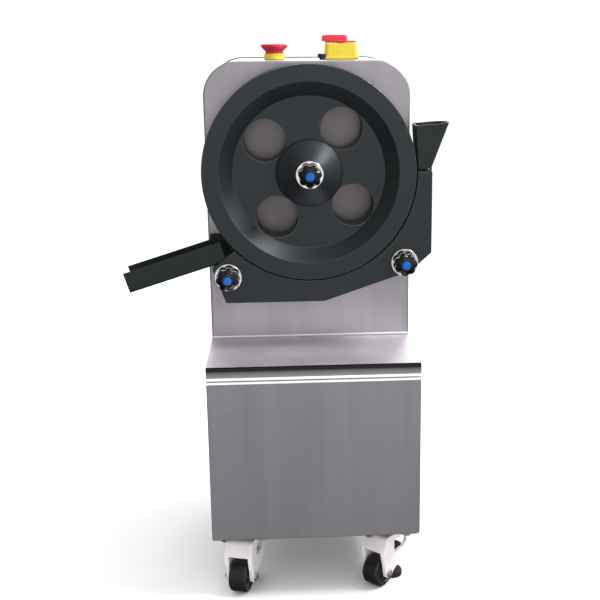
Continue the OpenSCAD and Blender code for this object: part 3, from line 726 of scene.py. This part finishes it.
def base():
    top = BASE_HIGH
    flange = 16
    shell = plate(rounded_box(-BASE_HALF, BASE_HALF, BASE_FRONT, BASE_BACK, 2.4, 4), BASE_LOW, top,
        edge=0.8)
    hollow = block(-BASE_HALF + SHEET, BASE_HALF - SHEET, BASE_FRONT + SHEET, BASE_BACK - SHEET,
                   BASE_LOW + SHEET, top - SHEET, edge=0)
    through = block(-BASE_HALF + flange, BASE_HALF - flange, BASE_FRONT - 5, BASE_BACK + 5,
                    BASE_LOW + flange, top - flange - 20, edge=0)
    front_top = block(-BASE_HALF + flange, BASE_HALF - flange, BASE_FRONT + flange - SHEET, -12,
                      top - 5, top + 5, edge=0)
    back_top = block(-131, 131, 30, BASE_BACK - 30, top - 5, top + 5, edge=0)
    put("base_cabinet_shell", cut(shell, hollow, through, front_top, back_top), FLOOR, "stand",
        "stainless", ["base_cabinet"])
    low, high = DOOR_LOW, DOOR_HIGH - 1.6
    outline = soften([(-BASE_HALF, low - AXIS, 2), (BASE_HALF, low - AXIS, 7),
                      (BASE_HALF, high - AXIS, 1), (-BASE_HALF, high - AXIS, 1)], 2, 5)
    back_t, front_t = -span("front_panel", 1)[1], -span("front_panel", 1)[0]
    put("front_door", plate(outline, back_t, front_t, edge=0.95, curve_steps=2), FRONT, "stand",
        "stainless", ["front_panel"], "door_steel")


def louvred(outline, low, columns, t0, t1, extra):
    """A rear cover: a plate with rows of slots, and the section of the pressed hood over each."""
    places = [(x, low + LOUVRE_STEP * row) for row in range(LOUVRE_ROWS) for x in columns]
    slots = [rounded_box(x, x + LOUVRE_W, z, z + 3, 1.4) for x, z in places]
    sheet = plate(outline, t0, t1, edge=0.6, holes=[*slots, *extra])
    hoods = []
    for x, z in places:
        side = soften([(0, z + 3.2), (0, z + 9.6), (0.5, z + 9.6), (1.9, z + 3.4)], 0.3, 2)
        hoods.append((x - 1, x + LOUVRE_W + 1, side))
    return sheet, hoods


def rear_covers():
    """Both rear covers, with holes for their screws."""
    inner = TOWER_D + SHEET
    holes = [circle(2.2, (x, z + LEDGE_V), 20) for x, z in TOWER_SCREWS]
    sheet, hoods = louvred(tower_outline(0, LEDGE_V, 16), LEDGE_V + 60, (-95, 35), -inner - SHEET,
        -inner, holes)
    put("tower_rear_sheet", sheet, FRONT, "stand", "stainless", ["tower_rear_cover"])
    hood_pieces("tower_louvres", hoods, inner + SHEET)
    half = BASE_HALF - 2
    low, high = span("base_rear_cover", 2)
    outline = rounded_box(-half, half, low - AXIS, high - AXIS, 3)
    holes = [circle(2.2, (x, z + BASE_LOW - AXIS), 20) for x, z in BASE_SCREWS]
    holes.append(circle(8.2, (GLAND[0], BASE_LOW + GLAND[1] - AXIS), 40))
    sheet, hoods = louvred(outline, BASE_LOW - AXIS + 110, (-60, 30), -TOWER_D - SHEET, -TOWER_D, holes)
    put("base_rear_sheet", sheet, FRONT, "stand", "stainless", ["base_rear_cover"])
    hood_pieces("base_louvres", hoods, TOWER_D + SHEET)


def hood_pieces(name, hoods, y):
    """Pressed hoods on a rear face at y, each leaning out over its slot."""
    meshes = [plate([(y + a - 0.1, AXIS + b) for a, b in side], x0, x1, edge=0.2) for x0, x1, side in hoods]
    put(name, joined(meshes), SIDE, "stand", "stainless")


# ---- fasteners ----

def pan_head(length):
    """A cross recessed pan head screw that points down its own Z, its seat at zero."""
    outline = soften([(0, -length), (1.6, -length), (2, -length + 0.6), (2, 0.02), (4, 0.02, 0.2),
        (4, 1.5, 1.0), (2.9, 2.5, 1.4), (0, 2.75)], 0.15, 3)
    head = lathe(outline, 28)
    slots = [block(-2.1, 2.1, -0.45, 0.45, 1.3, 4, edge=0), block(-0.45, 0.45, -2.1, 2.1, 1.3, 4, edge=0)]
    return cut(head, *slots)


def screws():
    head = pan_head(6)
    to_front = turn(90, "X")
    to_right = turn(90, "Y")
    out = []
    for i, (x, z) in enumerate(TOWER_SCREWS):
        out.append(moved(head, shift(x, TOWER_D + 2 * SHEET, LEDGE + z) @ TO_BACK @ turn(37 * i)))
    for i, (x, z) in enumerate(BASE_SCREWS):
        out.append(moved(head, shift(x, TOWER_D + SHEET, BASE_LOW + z) @ TO_BACK @ turn(23 * i)))
    for i, (x, z) in enumerate(BRACKET_SCREWS):
        out.append(moved(head, shift(x, -3.7, AXIS + z) @ to_front @ turn(51 * i)))
    out.append(moved(head, shift(RIGHT_CORNER[0] + 1.8, -37, AXIS + CONCAVE_TOP - 7) @ to_right
                     @ Matrix.Scale(0.55, 4, (0, 0, 1))))
    bolt = joined([rod(4, -11, 1, 24, edge=0.4), moved(plate(hexagon(12), 0, 5, edge=0.5),
        shift(0, 0, 0.1))])
    for i in range(6):
        spot = turn(60 * i + 30, "Y") @ shift(58, 0, 0)
        out.append(moved(bolt, shift(0, 34, AXIS) @ spot @ TO_BACK))
    put("screws_and_bolts", joined(out), FLOOR, "stand", "zinc_steel", ["screws"])


# ---- rotor ----

def rotor():
    middle = CONCAVE_T / 2 + 3.2
    half = (CHANNEL_TO - CHANNEL_FROM) / 2 - 1
    groove = 4.0
    outline = soften([
        (26, ROTOR_BACK), (ROTOR_R, ROTOR_BACK, 1.5), (ROTOR_R, middle - half - groove),
        (ROTOR_R - groove, middle - half), (ROTOR_R - groove, middle + half),
        (ROTOR_R, middle + half + groove), (ROTOR_R, RIM_T, 1.6), (RIM_IN_R, RIM_T, 0.9),
        (WEB_R, WEB_T, 0.9), (26, WEB_T, 0.2)], 0.5, 4)
    drum = lathe(outline, 224)
    flare = 1.1
    drill = lathe([(0, 0), (HOLE_R + 3, 0), (HOLE_R + 3, ROTOR_BACK), (HOLE_R, ROTOR_BACK + 2.5),
                   (HOLE_R, WEB_T - flare), (HOLE_R + 0.35, WEB_T - 0.35), (HOLE_R + flare, WEB_T),
                   (HOLE_R + flare, WEB_T + 8), (0, WEB_T + 8)], 96)
    drills = []
    for i in range(HOLES):
        a = math.radians(HOLE_TURN + 360 / HOLES * i)
        drills.append(moved(drill, shift(HOLE_RING_R * math.cos(a), HOLE_RING_R * math.sin(a), 0)))
    wheel_mesh = burnish(cut(drum, *drills), clear=(WEB_R + 0.8, RIM_IN_R - 0.8))
    put("rotor_wheel", wheel_mesh, FRONT, "rotor", "black_drum", ["rotor_drum"], edges="burnished_black")
    hub = soften([
        (SHAFT_R, 14), (25.9, 14), (25.9, WEB_T), (HUB_R + 2, WEB_T), (HUB_R + 2, WEB_T + 5, 1.0),
        (HUB_R, WEB_T + 7, 0.8), (WASHER_R + 1.5, HUB_TOP - 1), (WASHER_R, HUB_TOP), (SHAFT_R, HUB_TOP)],
        0.4, 3)
    put("rotor_hub_cone", lathe(hub, 128), FRONT, "rotor", "black_drum", ["rotor_hub"])
    put("rotor_washer_ring", washer(HUB_TOP, 6.3), FRONT, "rotor", "polished_steel", ["rotor_washer"])


def washer(t, bore):
    low, high = t + 0.05, t + 0.05 + WASHER_T
    return lathe(soften([(bore, low), (WASHER_R, low), (WASHER_R, high, 1.1),
        (WASHER_R - 3.4, high - 0.12, 0.5), (bore, high - 0.2)], 0.3, 4), 96)


def knob(at, t, body, knob_node, bore, degrees):
    """A glossy seven-lobed knob with a coloured cap pressed into its crown."""
    cap_node = knob_node + "_cap"
    lobe = 2.9
    levels = [
        (19.0, 0, 0), (19.0, bore, 0), (0.3, bore, 0), (0.3, 10.3, 0), (0.8, 10.9, 0), (4.9, 11.0, 0),
        (5.4, 11.8, 0.4), (5.9, 13.9, 1.6), (6.8, 15.0, lobe - 0.3), (8.2, 15.3, lobe),
        (16.8, 15.3, lobe - 0.1),
        (18.6, 15.0, lobe - 0.4), (20.0, 14.1, 2.2), (21.2, 12.7, 1.3), (22.3, 11.2, 0.6), (23.2, 9.9, 0.2),
        (23.8, 8.7, 0), (24.0, 7.8, 0), (23.9, 7.05, 0), (23.4, 6.75, 0), (21.9, 6.6, 0), (21.9, 0, 0)]
    spot = shift(*at, t) @ turn(degrees)
    put(knob_node + "_star", moved(lobed(levels, 7), spot), FRONT, body, "gloss_black", [knob_node],
        smooth=50)
    low = KNOB_H - 4.9
    cap = lathe(soften([(0, low), (6.5, low), (6.5, low + 2.6, 0.8), (5.9, low + 3.9, 1.2),
        (4.4, low + 4.6, 2.0), (0, low + 4.85)], 0.3, 4), 64)
    put(cap_node + "_disc", moved(cap, spot), FRONT, body, "blue_cap", [cap_node], smooth=50)


def knobs():
    knob((0, 0), HUB_TOP + WASHER_T, "hub_knob", "rotor_knob", 6.1, 12)
    knob(LEFT_KNOB, CONCAVE_T + WASHER_T, "concave_knob_left", "left_knob", 5.1, 31)
    knob(RIGHT_KNOB, CONCAVE_T + WASHER_T, "concave_knob_right", "right_knob", 5.1, 5)


# ---- concave, hopper and chute ----

def concave():
    start = math.degrees(math.asin(CONCAVE_TOP / CONCAVE_R))
    end = -180 - math.degrees(math.atan2(TIP[1], -TIP[0]))
    outline = [LEFT_CORNER, LOW_LEFT, LOW_MID, LOW_RIGHT, RIGHT_CORNER, (RIGHT_CORNER[0], CONCAVE_TOP)]
    outline = [(*p, 1.2) for p in outline] + [(*p, 0) for p in arc(CONCAVE_R, start, end, 96)]
    outline = soften(outline, 0, 3)
    studs = [circle(5.3, LEFT_KNOB, 32), circle(5.3, RIGHT_KNOB, 32)]
    for name, t0, t1 in (("concave_back_cheek", CONCAVE_BACK, CHANNEL_FROM),
                         ("concave_front_cheek", CHANNEL_TO, CONCAVE_T)):
        cheek = burnish(plate(outline, t0, t1, edge=0.8, holes=studs, curve_steps=2))
        piece = put(name, cheek, FRONT, "stand", "black_drum", edges="burnished_black")
        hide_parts("concave_cheeks")
    middle = plate(outline, CHANNEL_FROM, CHANNEL_TO, edge=0.25, holes=studs)
    bore = rod(CHANNEL_R, 0, 80, 224)
    pocket = block(158, 184, CONCAVE_TOP - 45, CONCAVE_TOP + 20, 0, 80, edge=0)
    put("concave_channel_ring", cut(middle, bore, pocket), FRONT, "stand", "black_drum",
        ["concave_channel"])
    fixings = []
    for x, y in (LEFT_KNOB, RIGHT_KNOB):
        stud = soften([(0, -30), (5, -30), (5, 0.2), (9, 0.2), (9, 5.9), (5, 5.9), (5, CONCAVE_T + 19),
                       (4, CONCAVE_T + 20.5), (0, CONCAVE_T + 20.5)], 0.2, 2)
        fixings += [moved(lathe(stud, 40), shift(x, y, 0)), moved(washer(CONCAVE_T, 5.3), shift(x, y, 0))]
    put("concave_studs_and_washers", joined(fixings), FRONT, "stand", "polished_steel", ["concave_fixings"])


def hopper_ring(v, left, right, front, back, corner):
    """One level of the hopper, a rectangle with its two right corners cut off."""
    flat = soften([(left, front, 1.2), (right - corner, front, 4.5), (right, front - corner, 4.5),
                   (right, back + corner, 4.5), (right - corner, back, 4.5), (left, back, 1.2)], 1, 4)
    return [(x, v, t) for x, t in flat]


def hopper():
    foot = CONCAVE_TOP + 4
    top = HOPPER_TOP
    spigot = CONCAVE_TOP - 7
    rings = [
        hopper_ring(foot, 167.7, 189.0, 64.0, 10.0, 7),
        hopper_ring(foot + 0.6, 167.5, 189.3, 64.0, 10.0, 7.1),
        hopper_ring(top, HOPPER_LEFT, HOPPER_RIGHT, 64.0, 10.0, 15),
        hopper_ring(top + 1, HOPPER_LEFT + 2, HOPPER_RIGHT - 2, 62.0, 12.0, 14),
        hopper_ring(foot + 2, 171.0, 182.0, 51.0, 21.0, 1),
        hopper_ring(spigot, 171.0, 182.0, 51.0, 21.0, 1),
        hopper_ring(spigot, 169.5, 183.5, 52.5, 19.5, 1.4),
        hopper_ring(foot, 169.5, 183.5, 52.5, 19.5, 1.4),
    ]
    rim = block(-90, 10, 0, 20, -10, 90, edge=0)
    body = cut(loft(rings, closed=True), moved(rim, shift(HOPPER_RIGHT, top, 0) @ turn(HOPPER_TILT)))
    body = bevelled(body, 0.55)
    strap = plate(rounded_box(29, 45, CONCAVE_TOP - 12, CONCAVE_TOP + 10, 3), RIGHT_CORNER[0] + 0.3,
                  RIGHT_CORNER[0] + 1.8, edge=0.3, holes=[circle(2.2, (37, CONCAVE_TOP - 7), 24)])
    turned = Matrix(((0, 0, 1, 0), (0, 1, 0, 0), (1, 0, 0, 0), (0, 0, 0, 1)))
    put("hopper_funnel", joined([body, moved(strap, turned)]), FRONT, "stand", "black_sheet", ["hopper"])


def chute():
    back, front, s = CHUTE_BACK_T, CHUTE_FRONT_T, CHUTE_SHEET
    section = soften([
        (back, 0, 3.2), (front, 0, 3.2), (front, CHUTE_WALL, 0.4), (front - s, CHUTE_WALL, 0.4),
        (front - s, s, 1.6), (back + s, s, 1.6), (back + s, CHUTE_WALL, 0.4), (back, CHUTE_WALL, 0.4)],
        0.4, 4)
    trough = plate(section, 0, CHUTE_LENGTH, edge=0.35)
    c, n = math.cos(CHUTE_SLOPE), math.sin(CHUTE_SLOPE)
    along = Matrix(((0, -n, c, CHUTE_START[0]), (0, c, n, CHUTE_START[1]), (1, 0, 0, 0), (0, 0, 0, 1)))
    line = math.degrees(math.atan2(TIP[1] - LEFT_CORNER[1], TIP[0] - LEFT_CORNER[0]))
    beyond = block(-80, 160, -120, 1, -20, 90, edge=0)
    beyond = moved(beyond, shift(*LEFT_CORNER, 0) @ turn(line))
    put("chute_trough", cut(moved(trough, along), beyond), FRONT, "stand", "black_sheet", ["chute"])
    outline = soften([(-159, -140), (-159, -101.5), (-125, -98.5), (-112, -116), (-130, -132)], 2.5, 3)
    holes = [circle(2.2, p, 20) for p in BRACKET_SCREWS]
    put("chute_mounting_plate", plate(outline, 0.1, 3.7, edge=0.5, holes=holes), FRONT, "stand",
        "black_sheet", ["chute_bracket"])


# ---- switches on the top ----

def emergency_stop():
    at = FLOOR @ shift(ESTOP_X, SWITCH_Y, TOP)
    collar = lathe(soften([(6.6, -24), (11, -24), (11, 0), (17.2, 0.2), (17.2, 2.4), (16.8, 3.0),
        (16.6, 8.4, 0.5), (16.2, 9.4, 0.4), (15.4, 9.4, 0.4), (15.4, 1), (6.6, 1)], 0.3, 3), 80)
    contacts = block(-15, 15, -20, 20, -52, -22, edge=1.2)
    put("estop_collar", joined([collar, contacts]), at, "stand", "yellow_plastic", ["estop_base"])
    head = soften([
        (0, -10), (6, -10), (6, 6.5), (14.9, 6.5), (14.9, 13.9, 0.4), (16.8, 14.6, 0.9), (20.6, 18.8, 3.0),
        (22.15, 21.0, 1.4), (22.0, 23.2, 1.4), (20.3, 24.8, 1.8), (16.5, 25.7, 3.0), (9, 25.3, 4.0),
        (0, 25.0)], 0.4, 5)
    put("estop_head", lathe(head, 96), at, "estop", "red_plastic", ["estop_button"], smooth=50)


def isolator():
    at = FLOOR @ shift(ISOLATOR_X, SWITCH_Y, TOP)
    half = 25.5
    flange = plate(rounded_box(-29, 29, -29, 29, 7), 0.02, 4.0, edge=1.0, curve_steps=2)
    rings = []
    levels = ((3.0, 1.5, 6.0), (5.0, 1.4, 6.0), (24.0, 0.0, 6.5), (25.3, -0.3, 6.5), (25.9, -1.4, 6.5))
    for z, grow, corner in levels:
        w = half + grow
        rings.append([(x, y, z) for x, y in rounded_box(-w, w, -w, w, corner, 6)])
    body = loft(rings, closed=False)
    screw = moved(pan_head(2), shift(0, 0, 3.2))
    corners = [moved(screw, shift(25.4 * a, 25.4 * b, -1.6)) for a in (-1, 1) for b in (-1, 1)]
    neck = lathe(soften([(4.2, -24), (11, -24), (11, 3.5), (4.2, 3.5)], 0.4), 48)
    contacts = block(-22, 22, -22, 22, -60, -22, edge=1.2)
    put("isolator_housing", joined([flange, body, *corners, neck, contacts]), at, "stand", "yellow_plastic",
        ["isolator_base"])
    disc = lathe(soften([(0, 26.4), (25.6, 26.4), (26, 27.0), (26, 28.6, 0.7), (25.2, 29.4, 0.7),
        (0, 29.4)], 0.3, 3), 96)
    grip = []
    for z, inset in ((28.6, 0.0), (30.5, 0.0), (36.5, 0.5), (38.2, 1.2), (38.9, 2.4)):
        grip.append([(x, y, z) for x, y in soften([(-31 + inset, -6.2 + inset, 4),
            (8 - inset, -7 + inset, 4), (12 - inset, 0, 5), (8 - inset, 7 - inset, 4),
            (-31 + inset, 6.2 - inset, 4)], 4, 5)])
    stem = rod(4, -20, 27, 32)
    mark = block(-26, -18, -0.8, 0.8, 38.6, 39.0, edge=0.1)
    put("isolator_knob", joined([disc, loft(grip, closed=False), stem]), at, "isolator", "red_plastic",
        ["isolator_handle"], smooth=40)
    put("isolator_pointer", mark, at, "isolator", "caster_white")


def reset():
    at = FLOOR @ shift(*RESET, TOP)
    button = lathe(soften([(0, -18), (4, -18), (4, 2.4), (6.8, 2.4), (6.8, 8.6, 0.9), (5.8, 9.4, 0.9),
        (0, 9.1)], 0.3, 4), 56)
    put("reset_push_button", button, at, "reset", "navy_plastic", ["reset_button"])


def gland():
    at = FLOOR @ shift(GLAND[0], TOWER_D + SHEET, BASE_LOW + GLAND[1]) @ TO_BACK
    bore = 4.5
    thread = 8.2
    barrel = lathe(soften([(bore, -12), (8, -12), (8, 0.6), (9, 0.6), (9, 8), (bore, 8)], 0.4, 3), 56)
    dome = lobed([(8.2, bore, 0), (8.2, 9.4, 0), (9.0, 10.2, 0.5), (15.5, 10.0, 0.6), (17.0, 9.4, 0.5),
                  (21.0, 7.4, 0), (21.9, 6.4, 0), (22.0, 5.4, 0), (21.6, bore, 0)], 12, 8)
    outer_nut = plate(hexagon(20.6), 0.05, 6.0, edge=0.7, holes=[circle(9.2, count=48)])
    inner_nut = plate(hexagon(19.8), -7.1, -2.1, edge=0.6, holes=[circle(thread, count=48)])
    put("power_gland_fitting", joined([barrel, dome, outer_nut, inner_nut]), at, "stand", "black_plastic",
        ["power_gland"])


# ---- casters ----

def caster_space(corner):
    x, y, degrees = CASTERS[corner]
    return FLOOR @ shift(x, y, 0) @ turn(degrees)


def fork():
    """A caster's white body: two windowed legs under a hood that curves down in front of the wheel."""
    top = FORK_TOP
    leg = soften([
        (-28, top, 9), (-37.8, top - 26, 14), (-34, top - 42, 12), (-WHEEL_OFF - 9, AXLE_Z + 4, 6),
        (-WHEEL_OFF - 6, AXLE_Z - 7, 7), (-WHEEL_OFF + 6, AXLE_Z - 9, 7), (-WHEEL_OFF + 13, AXLE_Z + 1, 6),
        (-2, AXLE_Z + 5, 8), (16, AXLE_Z + 6, 8), (30, AXLE_Z + 15, 9), (38, AXLE_Z + 30, 12),
        (37, top - 16, 9), (30, top, 7)], 5, 5)
    window = soften([(-8, top - 32, 3), (17, top - 32, 4), (25, top - 25, 3), (25, top - 19, 3),
                     (17, top - 11, 4), (-8, top - 11, 3)], 3, 4)
    legs = [plate(leg, side * (FORK_IN + FORK_OUT) / 2 - 3.5, side * (FORK_IN + FORK_OUT) / 2 + 3.5,
        edge=1.1, holes=[window, circle(AXLE_R + 0.05, (-WHEEL_OFF, AXLE_Z), 32)],
        curve_steps=2) for side in (-1, 1)]
    hood = plate(soften([
        (30, top - 0.1, 2), (-28, top - 0.1, 11), (-37.6, top - 26, 1.5), (-31.5, top - 26, 1.5),
        (-24, top - 6, 6),
        (30, top - 6, 2)], 1, 6), -FORK_OUT + 0.4, FORK_OUT - 0.4, edge=0.8)
    bridge_bar = plate(rounded_box(6, 29, AXLE_Z + 12, AXLE_Z + 20, 2), -FORK_OUT + 1, FORK_OUT - 1,
        edge=0.5)
    body = fuse(legs[0], legs[1], hood, bridge_bar)
    stand_up = Matrix(((0, 0, 1, 0), (1, 0, 0, 0), (0, 1, 0, 0), (0, 0, 0, 1)))
    body = moved(body, stand_up)
    for_rod = moved(rod(6.3, 0, FORK_TOP - 10, 40), shift(0, FOOT_OFF, 0))
    for_thumbwheel = moved(rod(15.8, 0, 10), shift(0, FOOT_OFF, AXLE_Z + 20))
    return cut(body, for_rod, for_thumbwheel)


def wheel():
    """A nylon wheel: crowned tread with a moulding line, dished sides with a raised hub."""
    half = 14.7
    side = [(AXLE_R + 0.06, half), (10, half, 0.8), (11, half - 2.8, 0.8), (18.6, half - 2.8, 0.8),
            (20.3, half - 0.5, 0.7), (WHEEL_R - 2.2, half - 0.6, 1.0), (WHEEL_R - 0.05, half - 3.0, 1.4),
            (WHEEL_R, 2.0, 6), (WHEEL_R, 0.35, 0.1), (WHEEL_R - 0.18, 0.0, 0.1)]
    mirror = [(r, -z, *rest) for r, z, *rest in reversed(side[:-1])]
    return lathe(soften([*side, *mirror], 0.4, 4), 96)


def axle():
    reach = FORK_OUT
    pin = rod(AXLE_R, -reach - 1, reach + 1, 40, edge=0.3)
    head = lathe(soften([(0, reach + 0.1), (6.5, reach + 0.1), (6.5, reach + 1.9, 0.8),
        (4.5, reach + 2.7, 1.5), (0, reach + 2.75)], 0.2, 3), 40)
    socket = moved(plate(hexagon(4.2), 0, 4, edge=0.05), shift(0, 0, reach + 1.5))
    nut = moved(plate(hexagon(11.2), 0, 2.6, edge=0.4), shift(0, 0, -reach - 2.7))
    return joined([pin, cut(head, socket), nut])


def foot():
    """A levelling pad on its threaded rod."""
    thread = []
    top = AXLE_Z + 34
    pitch = 1.5
    turns = int((top - 15 - 1) / pitch)
    for i in range(turns):
        thread += [(5.0, 15 + pitch * i), (4.45, 15 + pitch * (i + 0.5))]
    outline = soften([(0, 0), (13.4, 0, 0.6), (14.2, 0.8, 0.5), (15, 1.4, 0.8), (15, 8.6, 1.6),
        (13, 11.5, 1.6), (6.5, 12.8, 1.0), (5.2, 14, 0.4)], 0.4, 3)
    return lathe([*outline, *thread, (5.0, top - 0.8), (4.3, top), (0, top)], 48)


def thumbwheel():
    levels = [(0, 5.06, 0), (0, 12.4, 0.5), (0.8, 13.6, 1.2), (1.2, 13.8, 1.3), (7.8, 13.8, 1.3),
        (8.2, 13.6, 1.2), (9.0, 12.4, 0.5), (9.0, 9.5, 0), (8.2, 9.0, 0), (8.2, 7.6, 0), (9.0, 7.1, 0),
        (9.0, 5.06, 0)]
    return moved(lobed(levels, 16, 8), shift(0, FOOT_OFF, AXLE_Z + 20.5))


def caster_plates():
    """Mounting plates with their swivel races, bolts and nuts."""
    top = BASE_LOW
    half = 36.5
    hole = 29.0
    out = []
    for x, y, _ in CASTERS.values():
        sheet = plate(rounded_box(-half, half, -half, half, 6), top - 5.05, top - 0.05, edge=0.8)
        race = lathe(soften([(0, top - 13), (17.5, top - 13), (20, top - 11.5, 1), (20, top - 8, 1),
            (18.5, top - 7, 1), (18.5, top - 4.9), (0, top - 4.9)], 0.5, 3), 64)
        out += [moved(sheet, shift(x, y, 0)), moved(race, shift(x, y, 0))]
        for sx in (-1, 1):
            for sy in (-1, 1):
                nut = moved(plate(hexagon(13), 0, 6.6, edge=0.6), shift(0, 0, top - 11))
                stem = rod(3.9, top - 11, top + 4, 28, edge=0.5)
                spot = shift(x + sx * hole, y + sy * hole, 0) @ turn(17 * sx + 9 * sy)
                out += [moved(nut, spot), moved(stem, spot)]
    put("caster_mounting_plates", joined(out), FLOOR, "stand", "zinc_steel", ["caster_plates"])


def casters():
    caster_plates()
    on_axle = shift(0, -WHEEL_OFF, AXLE_Z) @ turn(90, "Y")
    shapes = {"fork": fork(), "wheel": moved(wheel(), on_axle), "axle": moved(axle(), on_axle),
              "foot": moved(foot(), shift(0, FOOT_OFF, 0)), "thumb": thumbwheel()}
    for corner in CASTERS:
        space = caster_space(corner)
        for name, shape, body, slot, node in (
                ("caster_body_", "fork", "caster_", "caster_white", "caster_fork_"),
                ("caster_tyre_", "wheel", "wheel_", "wheel_black", "caster_wheel_"),
                ("caster_bolt_", "axle", "caster_", "zinc_steel", "caster_axle_"),
                ("leveling_pad_", "foot", "foot_", "black_rubber", "leveling_foot_"),
                ("leveling_wheel_", "thumb", "thumb_", "black_plastic", "thumbwheel_")):
            put(name + corner, shapes[shape], space, body + corner, slot, [node + corner])


# ---- CAD nodes that keep their own shape ----

KEPT = {"rear_gasket": "black_rubber", "drive_plate": "plate_alu", "spindle_housing": "cast_grey",
        "spindle_bearings": "polished_steel", "main_shaft": "machined_steel", "driven_pulley": "plate_alu",
        "timing_belt": "black_rubber", "drive_pulley": "plate_alu", "gearbox": "cast_grey",
        "motor": "motor_blue", "control_box": "box_grey"}


def kept_nodes():
    for node, slot in KEPT.items():
        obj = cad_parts[node]
        obj.data.materials.clear()
        obj.data.materials.append(FINISHES[slot])


# ---- floor, light and camera ----

FLOOR_REACH = 60  # metres each way
# Brightness of the studio as the machine mirrors it, along X and Z of the direction, and as it lights it.
ACROSS = ((-1.0, 0.16), (-0.5, 0.36), (-0.2, 0.84), (-0.05, 1.06), (0.06, 1.04), (0.3, 0.78), (1.0, 0.6))
HEIGHT = ((-1.0, 0.02), (-0.6, 0.16), (-0.42, 0.45), (-0.22, 0.7), (-0.1, 1.0), (0.0, 0.96),
    (0.25, 1.2), (1.0, 0.6))
SOFT = ((-1.0, 0.12), (-0.1, 0.4), (0.05, 1.0), (1.0, 1.3))


def floor():
    bm = bmesh.new()
    bmesh.ops.create_grid(bm, x_segments=4, y_segments=4, size=FLOOR_REACH)
    mesh = bpy.data.meshes.new("floor")
    bm.to_mesh(mesh)
    bm.free()
    mesh.materials.append(plain("pale_floor", (0.93, 0.93, 0.93), (0.7, 0.8), 0.005, mottle=2, grain=30,
        depth=0))
    obj = bpy.data.objects.new("floor", mesh)
    bpy.context.scene.collection.objects.link(obj)
    obj.visible_glossy = False


def softbox(name, place, target, size, power):
    light = bpy.data.lights.new(name, "AREA")
    light.shape = "RECTANGLE"
    light.size, light.size_y = size
    light.energy = power
    obj = bpy.data.objects.new(name, light)
    obj.location = place
    obj.rotation_euler = (Vector(target) - Vector(place)).to_track_quat("-Z", "Y").to_euler()
    bpy.context.scene.collection.objects.link(obj)


def surroundings():
    """A plain studio: white to the eye, and as light on the machine brighter in front and above."""
    world = bpy.data.worlds.new("studio")
    world.use_nodes = True
    bpy.context.scene.world = world
    tree = world.node_tree
    tree.nodes.clear()
    place = new_node(tree, "TexCoord").outputs["Generated"]
    parts = new_node(tree, "SeparateXYZ", Vector=place).outputs

    def graded(axis, stops):
        """Brightness along one axis of the direction, from -1 to 1."""
        part = new_node(tree, "MapRange", Value=parts[axis], From_Min=-1.0, From_Max=1.0)
        grey = [((position + 1) / 2, (value, value, value)) for position, value in stops]
        return new_ramp(tree, part.outputs["Result"], grey)

    def choice(switch, off, on):
        """One of two shaders."""
        mix = new_node(tree, "MixShader", Fac=switch)
        tree.links.new(off.outputs[0], mix.inputs[1])
        tree.links.new(on.outputs[0], mix.inputs[2])
        return mix

    product = new_node(tree, "VectorMath")
    product.operation = "MULTIPLY"
    tree.links.new(graded("X", ACROSS), product.inputs[0])
    tree.links.new(graded("Z", HEIGHT), product.inputs[1])
    mirrored = new_node(tree, "Background", Color=product.outputs["Vector"], Strength=1.0)
    soft = new_node(tree, "Background", Color=graded("Z", SOFT), Strength=1.0)
    seen = new_node(tree, "Background", Color=(1, 1, 1, 1), Strength=1.05)
    rays = new_node(tree, "LightPath").outputs
    lit = choice(rays["Is Diffuse Ray"], mirrored, soft)
    shown_world = choice(rays["Is Camera Ray"], lit, seen)
    new_node(tree, "OutputWorld", Surface=shown_world.outputs[0])
    world.cycles.sampling_method = "NONE"


def lights():
    middle = (axis_x, front_y, axis_z)
    softbox("key", (axis_x + 1.7, front_y - 0.4, axis_z + 1.7), middle, (0.8, 0.8), 60)
    softbox("front", (axis_x + 0.9, front_y - 2.4, axis_z + 1.2), middle, (1.4, 1.0), 3)
    softbox("back", (axis_x + 0.4, front_y + 2.6, 1.8), middle, (1.6, 1.2), 20)


EYE = (-44.9, 203.9, 1676.0)  # in millimetres, in FRONT
EYE_TURNS = (0.0607, 0.245, 0.0072)  # yaw, pitch and roll, in radians
LENS, SHIFT_X = 63.25, -0.075


def camera():
    """The eye stands in front, a little to the machine's left and above its rotor, and looks down."""
    eye = FRONT @ Vector(EYE)
    yaw, pitch, roll = EYE_TURNS
    forward = Vector((math.sin(yaw) * math.cos(pitch), math.cos(yaw) * math.cos(pitch), -math.sin(pitch)))
    right = Vector((math.cos(yaw), -math.sin(yaw), 0))
    down = forward.cross(right)
    across = right * math.cos(roll) + down * math.sin(roll)
    below = down * math.cos(roll) - right * math.sin(roll)
    data = bpy.data.cameras.new("camera")
    data.sensor_width = 36.0
    data.lens = LENS
    data.shift_x = SHIFT_X
    obj = bpy.data.objects.new("camera", data)
    axes = Matrix((across, -below, -forward)).transposed().to_4x4()
    obj.matrix_world = Matrix.Translation(eye) @ axes
    bpy.context.scene.collection.objects.link(obj)
    bpy.context.scene.camera = obj


tower()
ledge()
base()
rear_covers()
screws()
rotor()
knobs()
concave()
hopper()
chute()
emergency_stop()
isolator()
reset()
gland()
casters()
kept_nodes()
floor()
surroundings()
lights()
camera()
bpy.context.scene.view_settings.view_transform = "Standard"

bpy.context.view_layer.update()
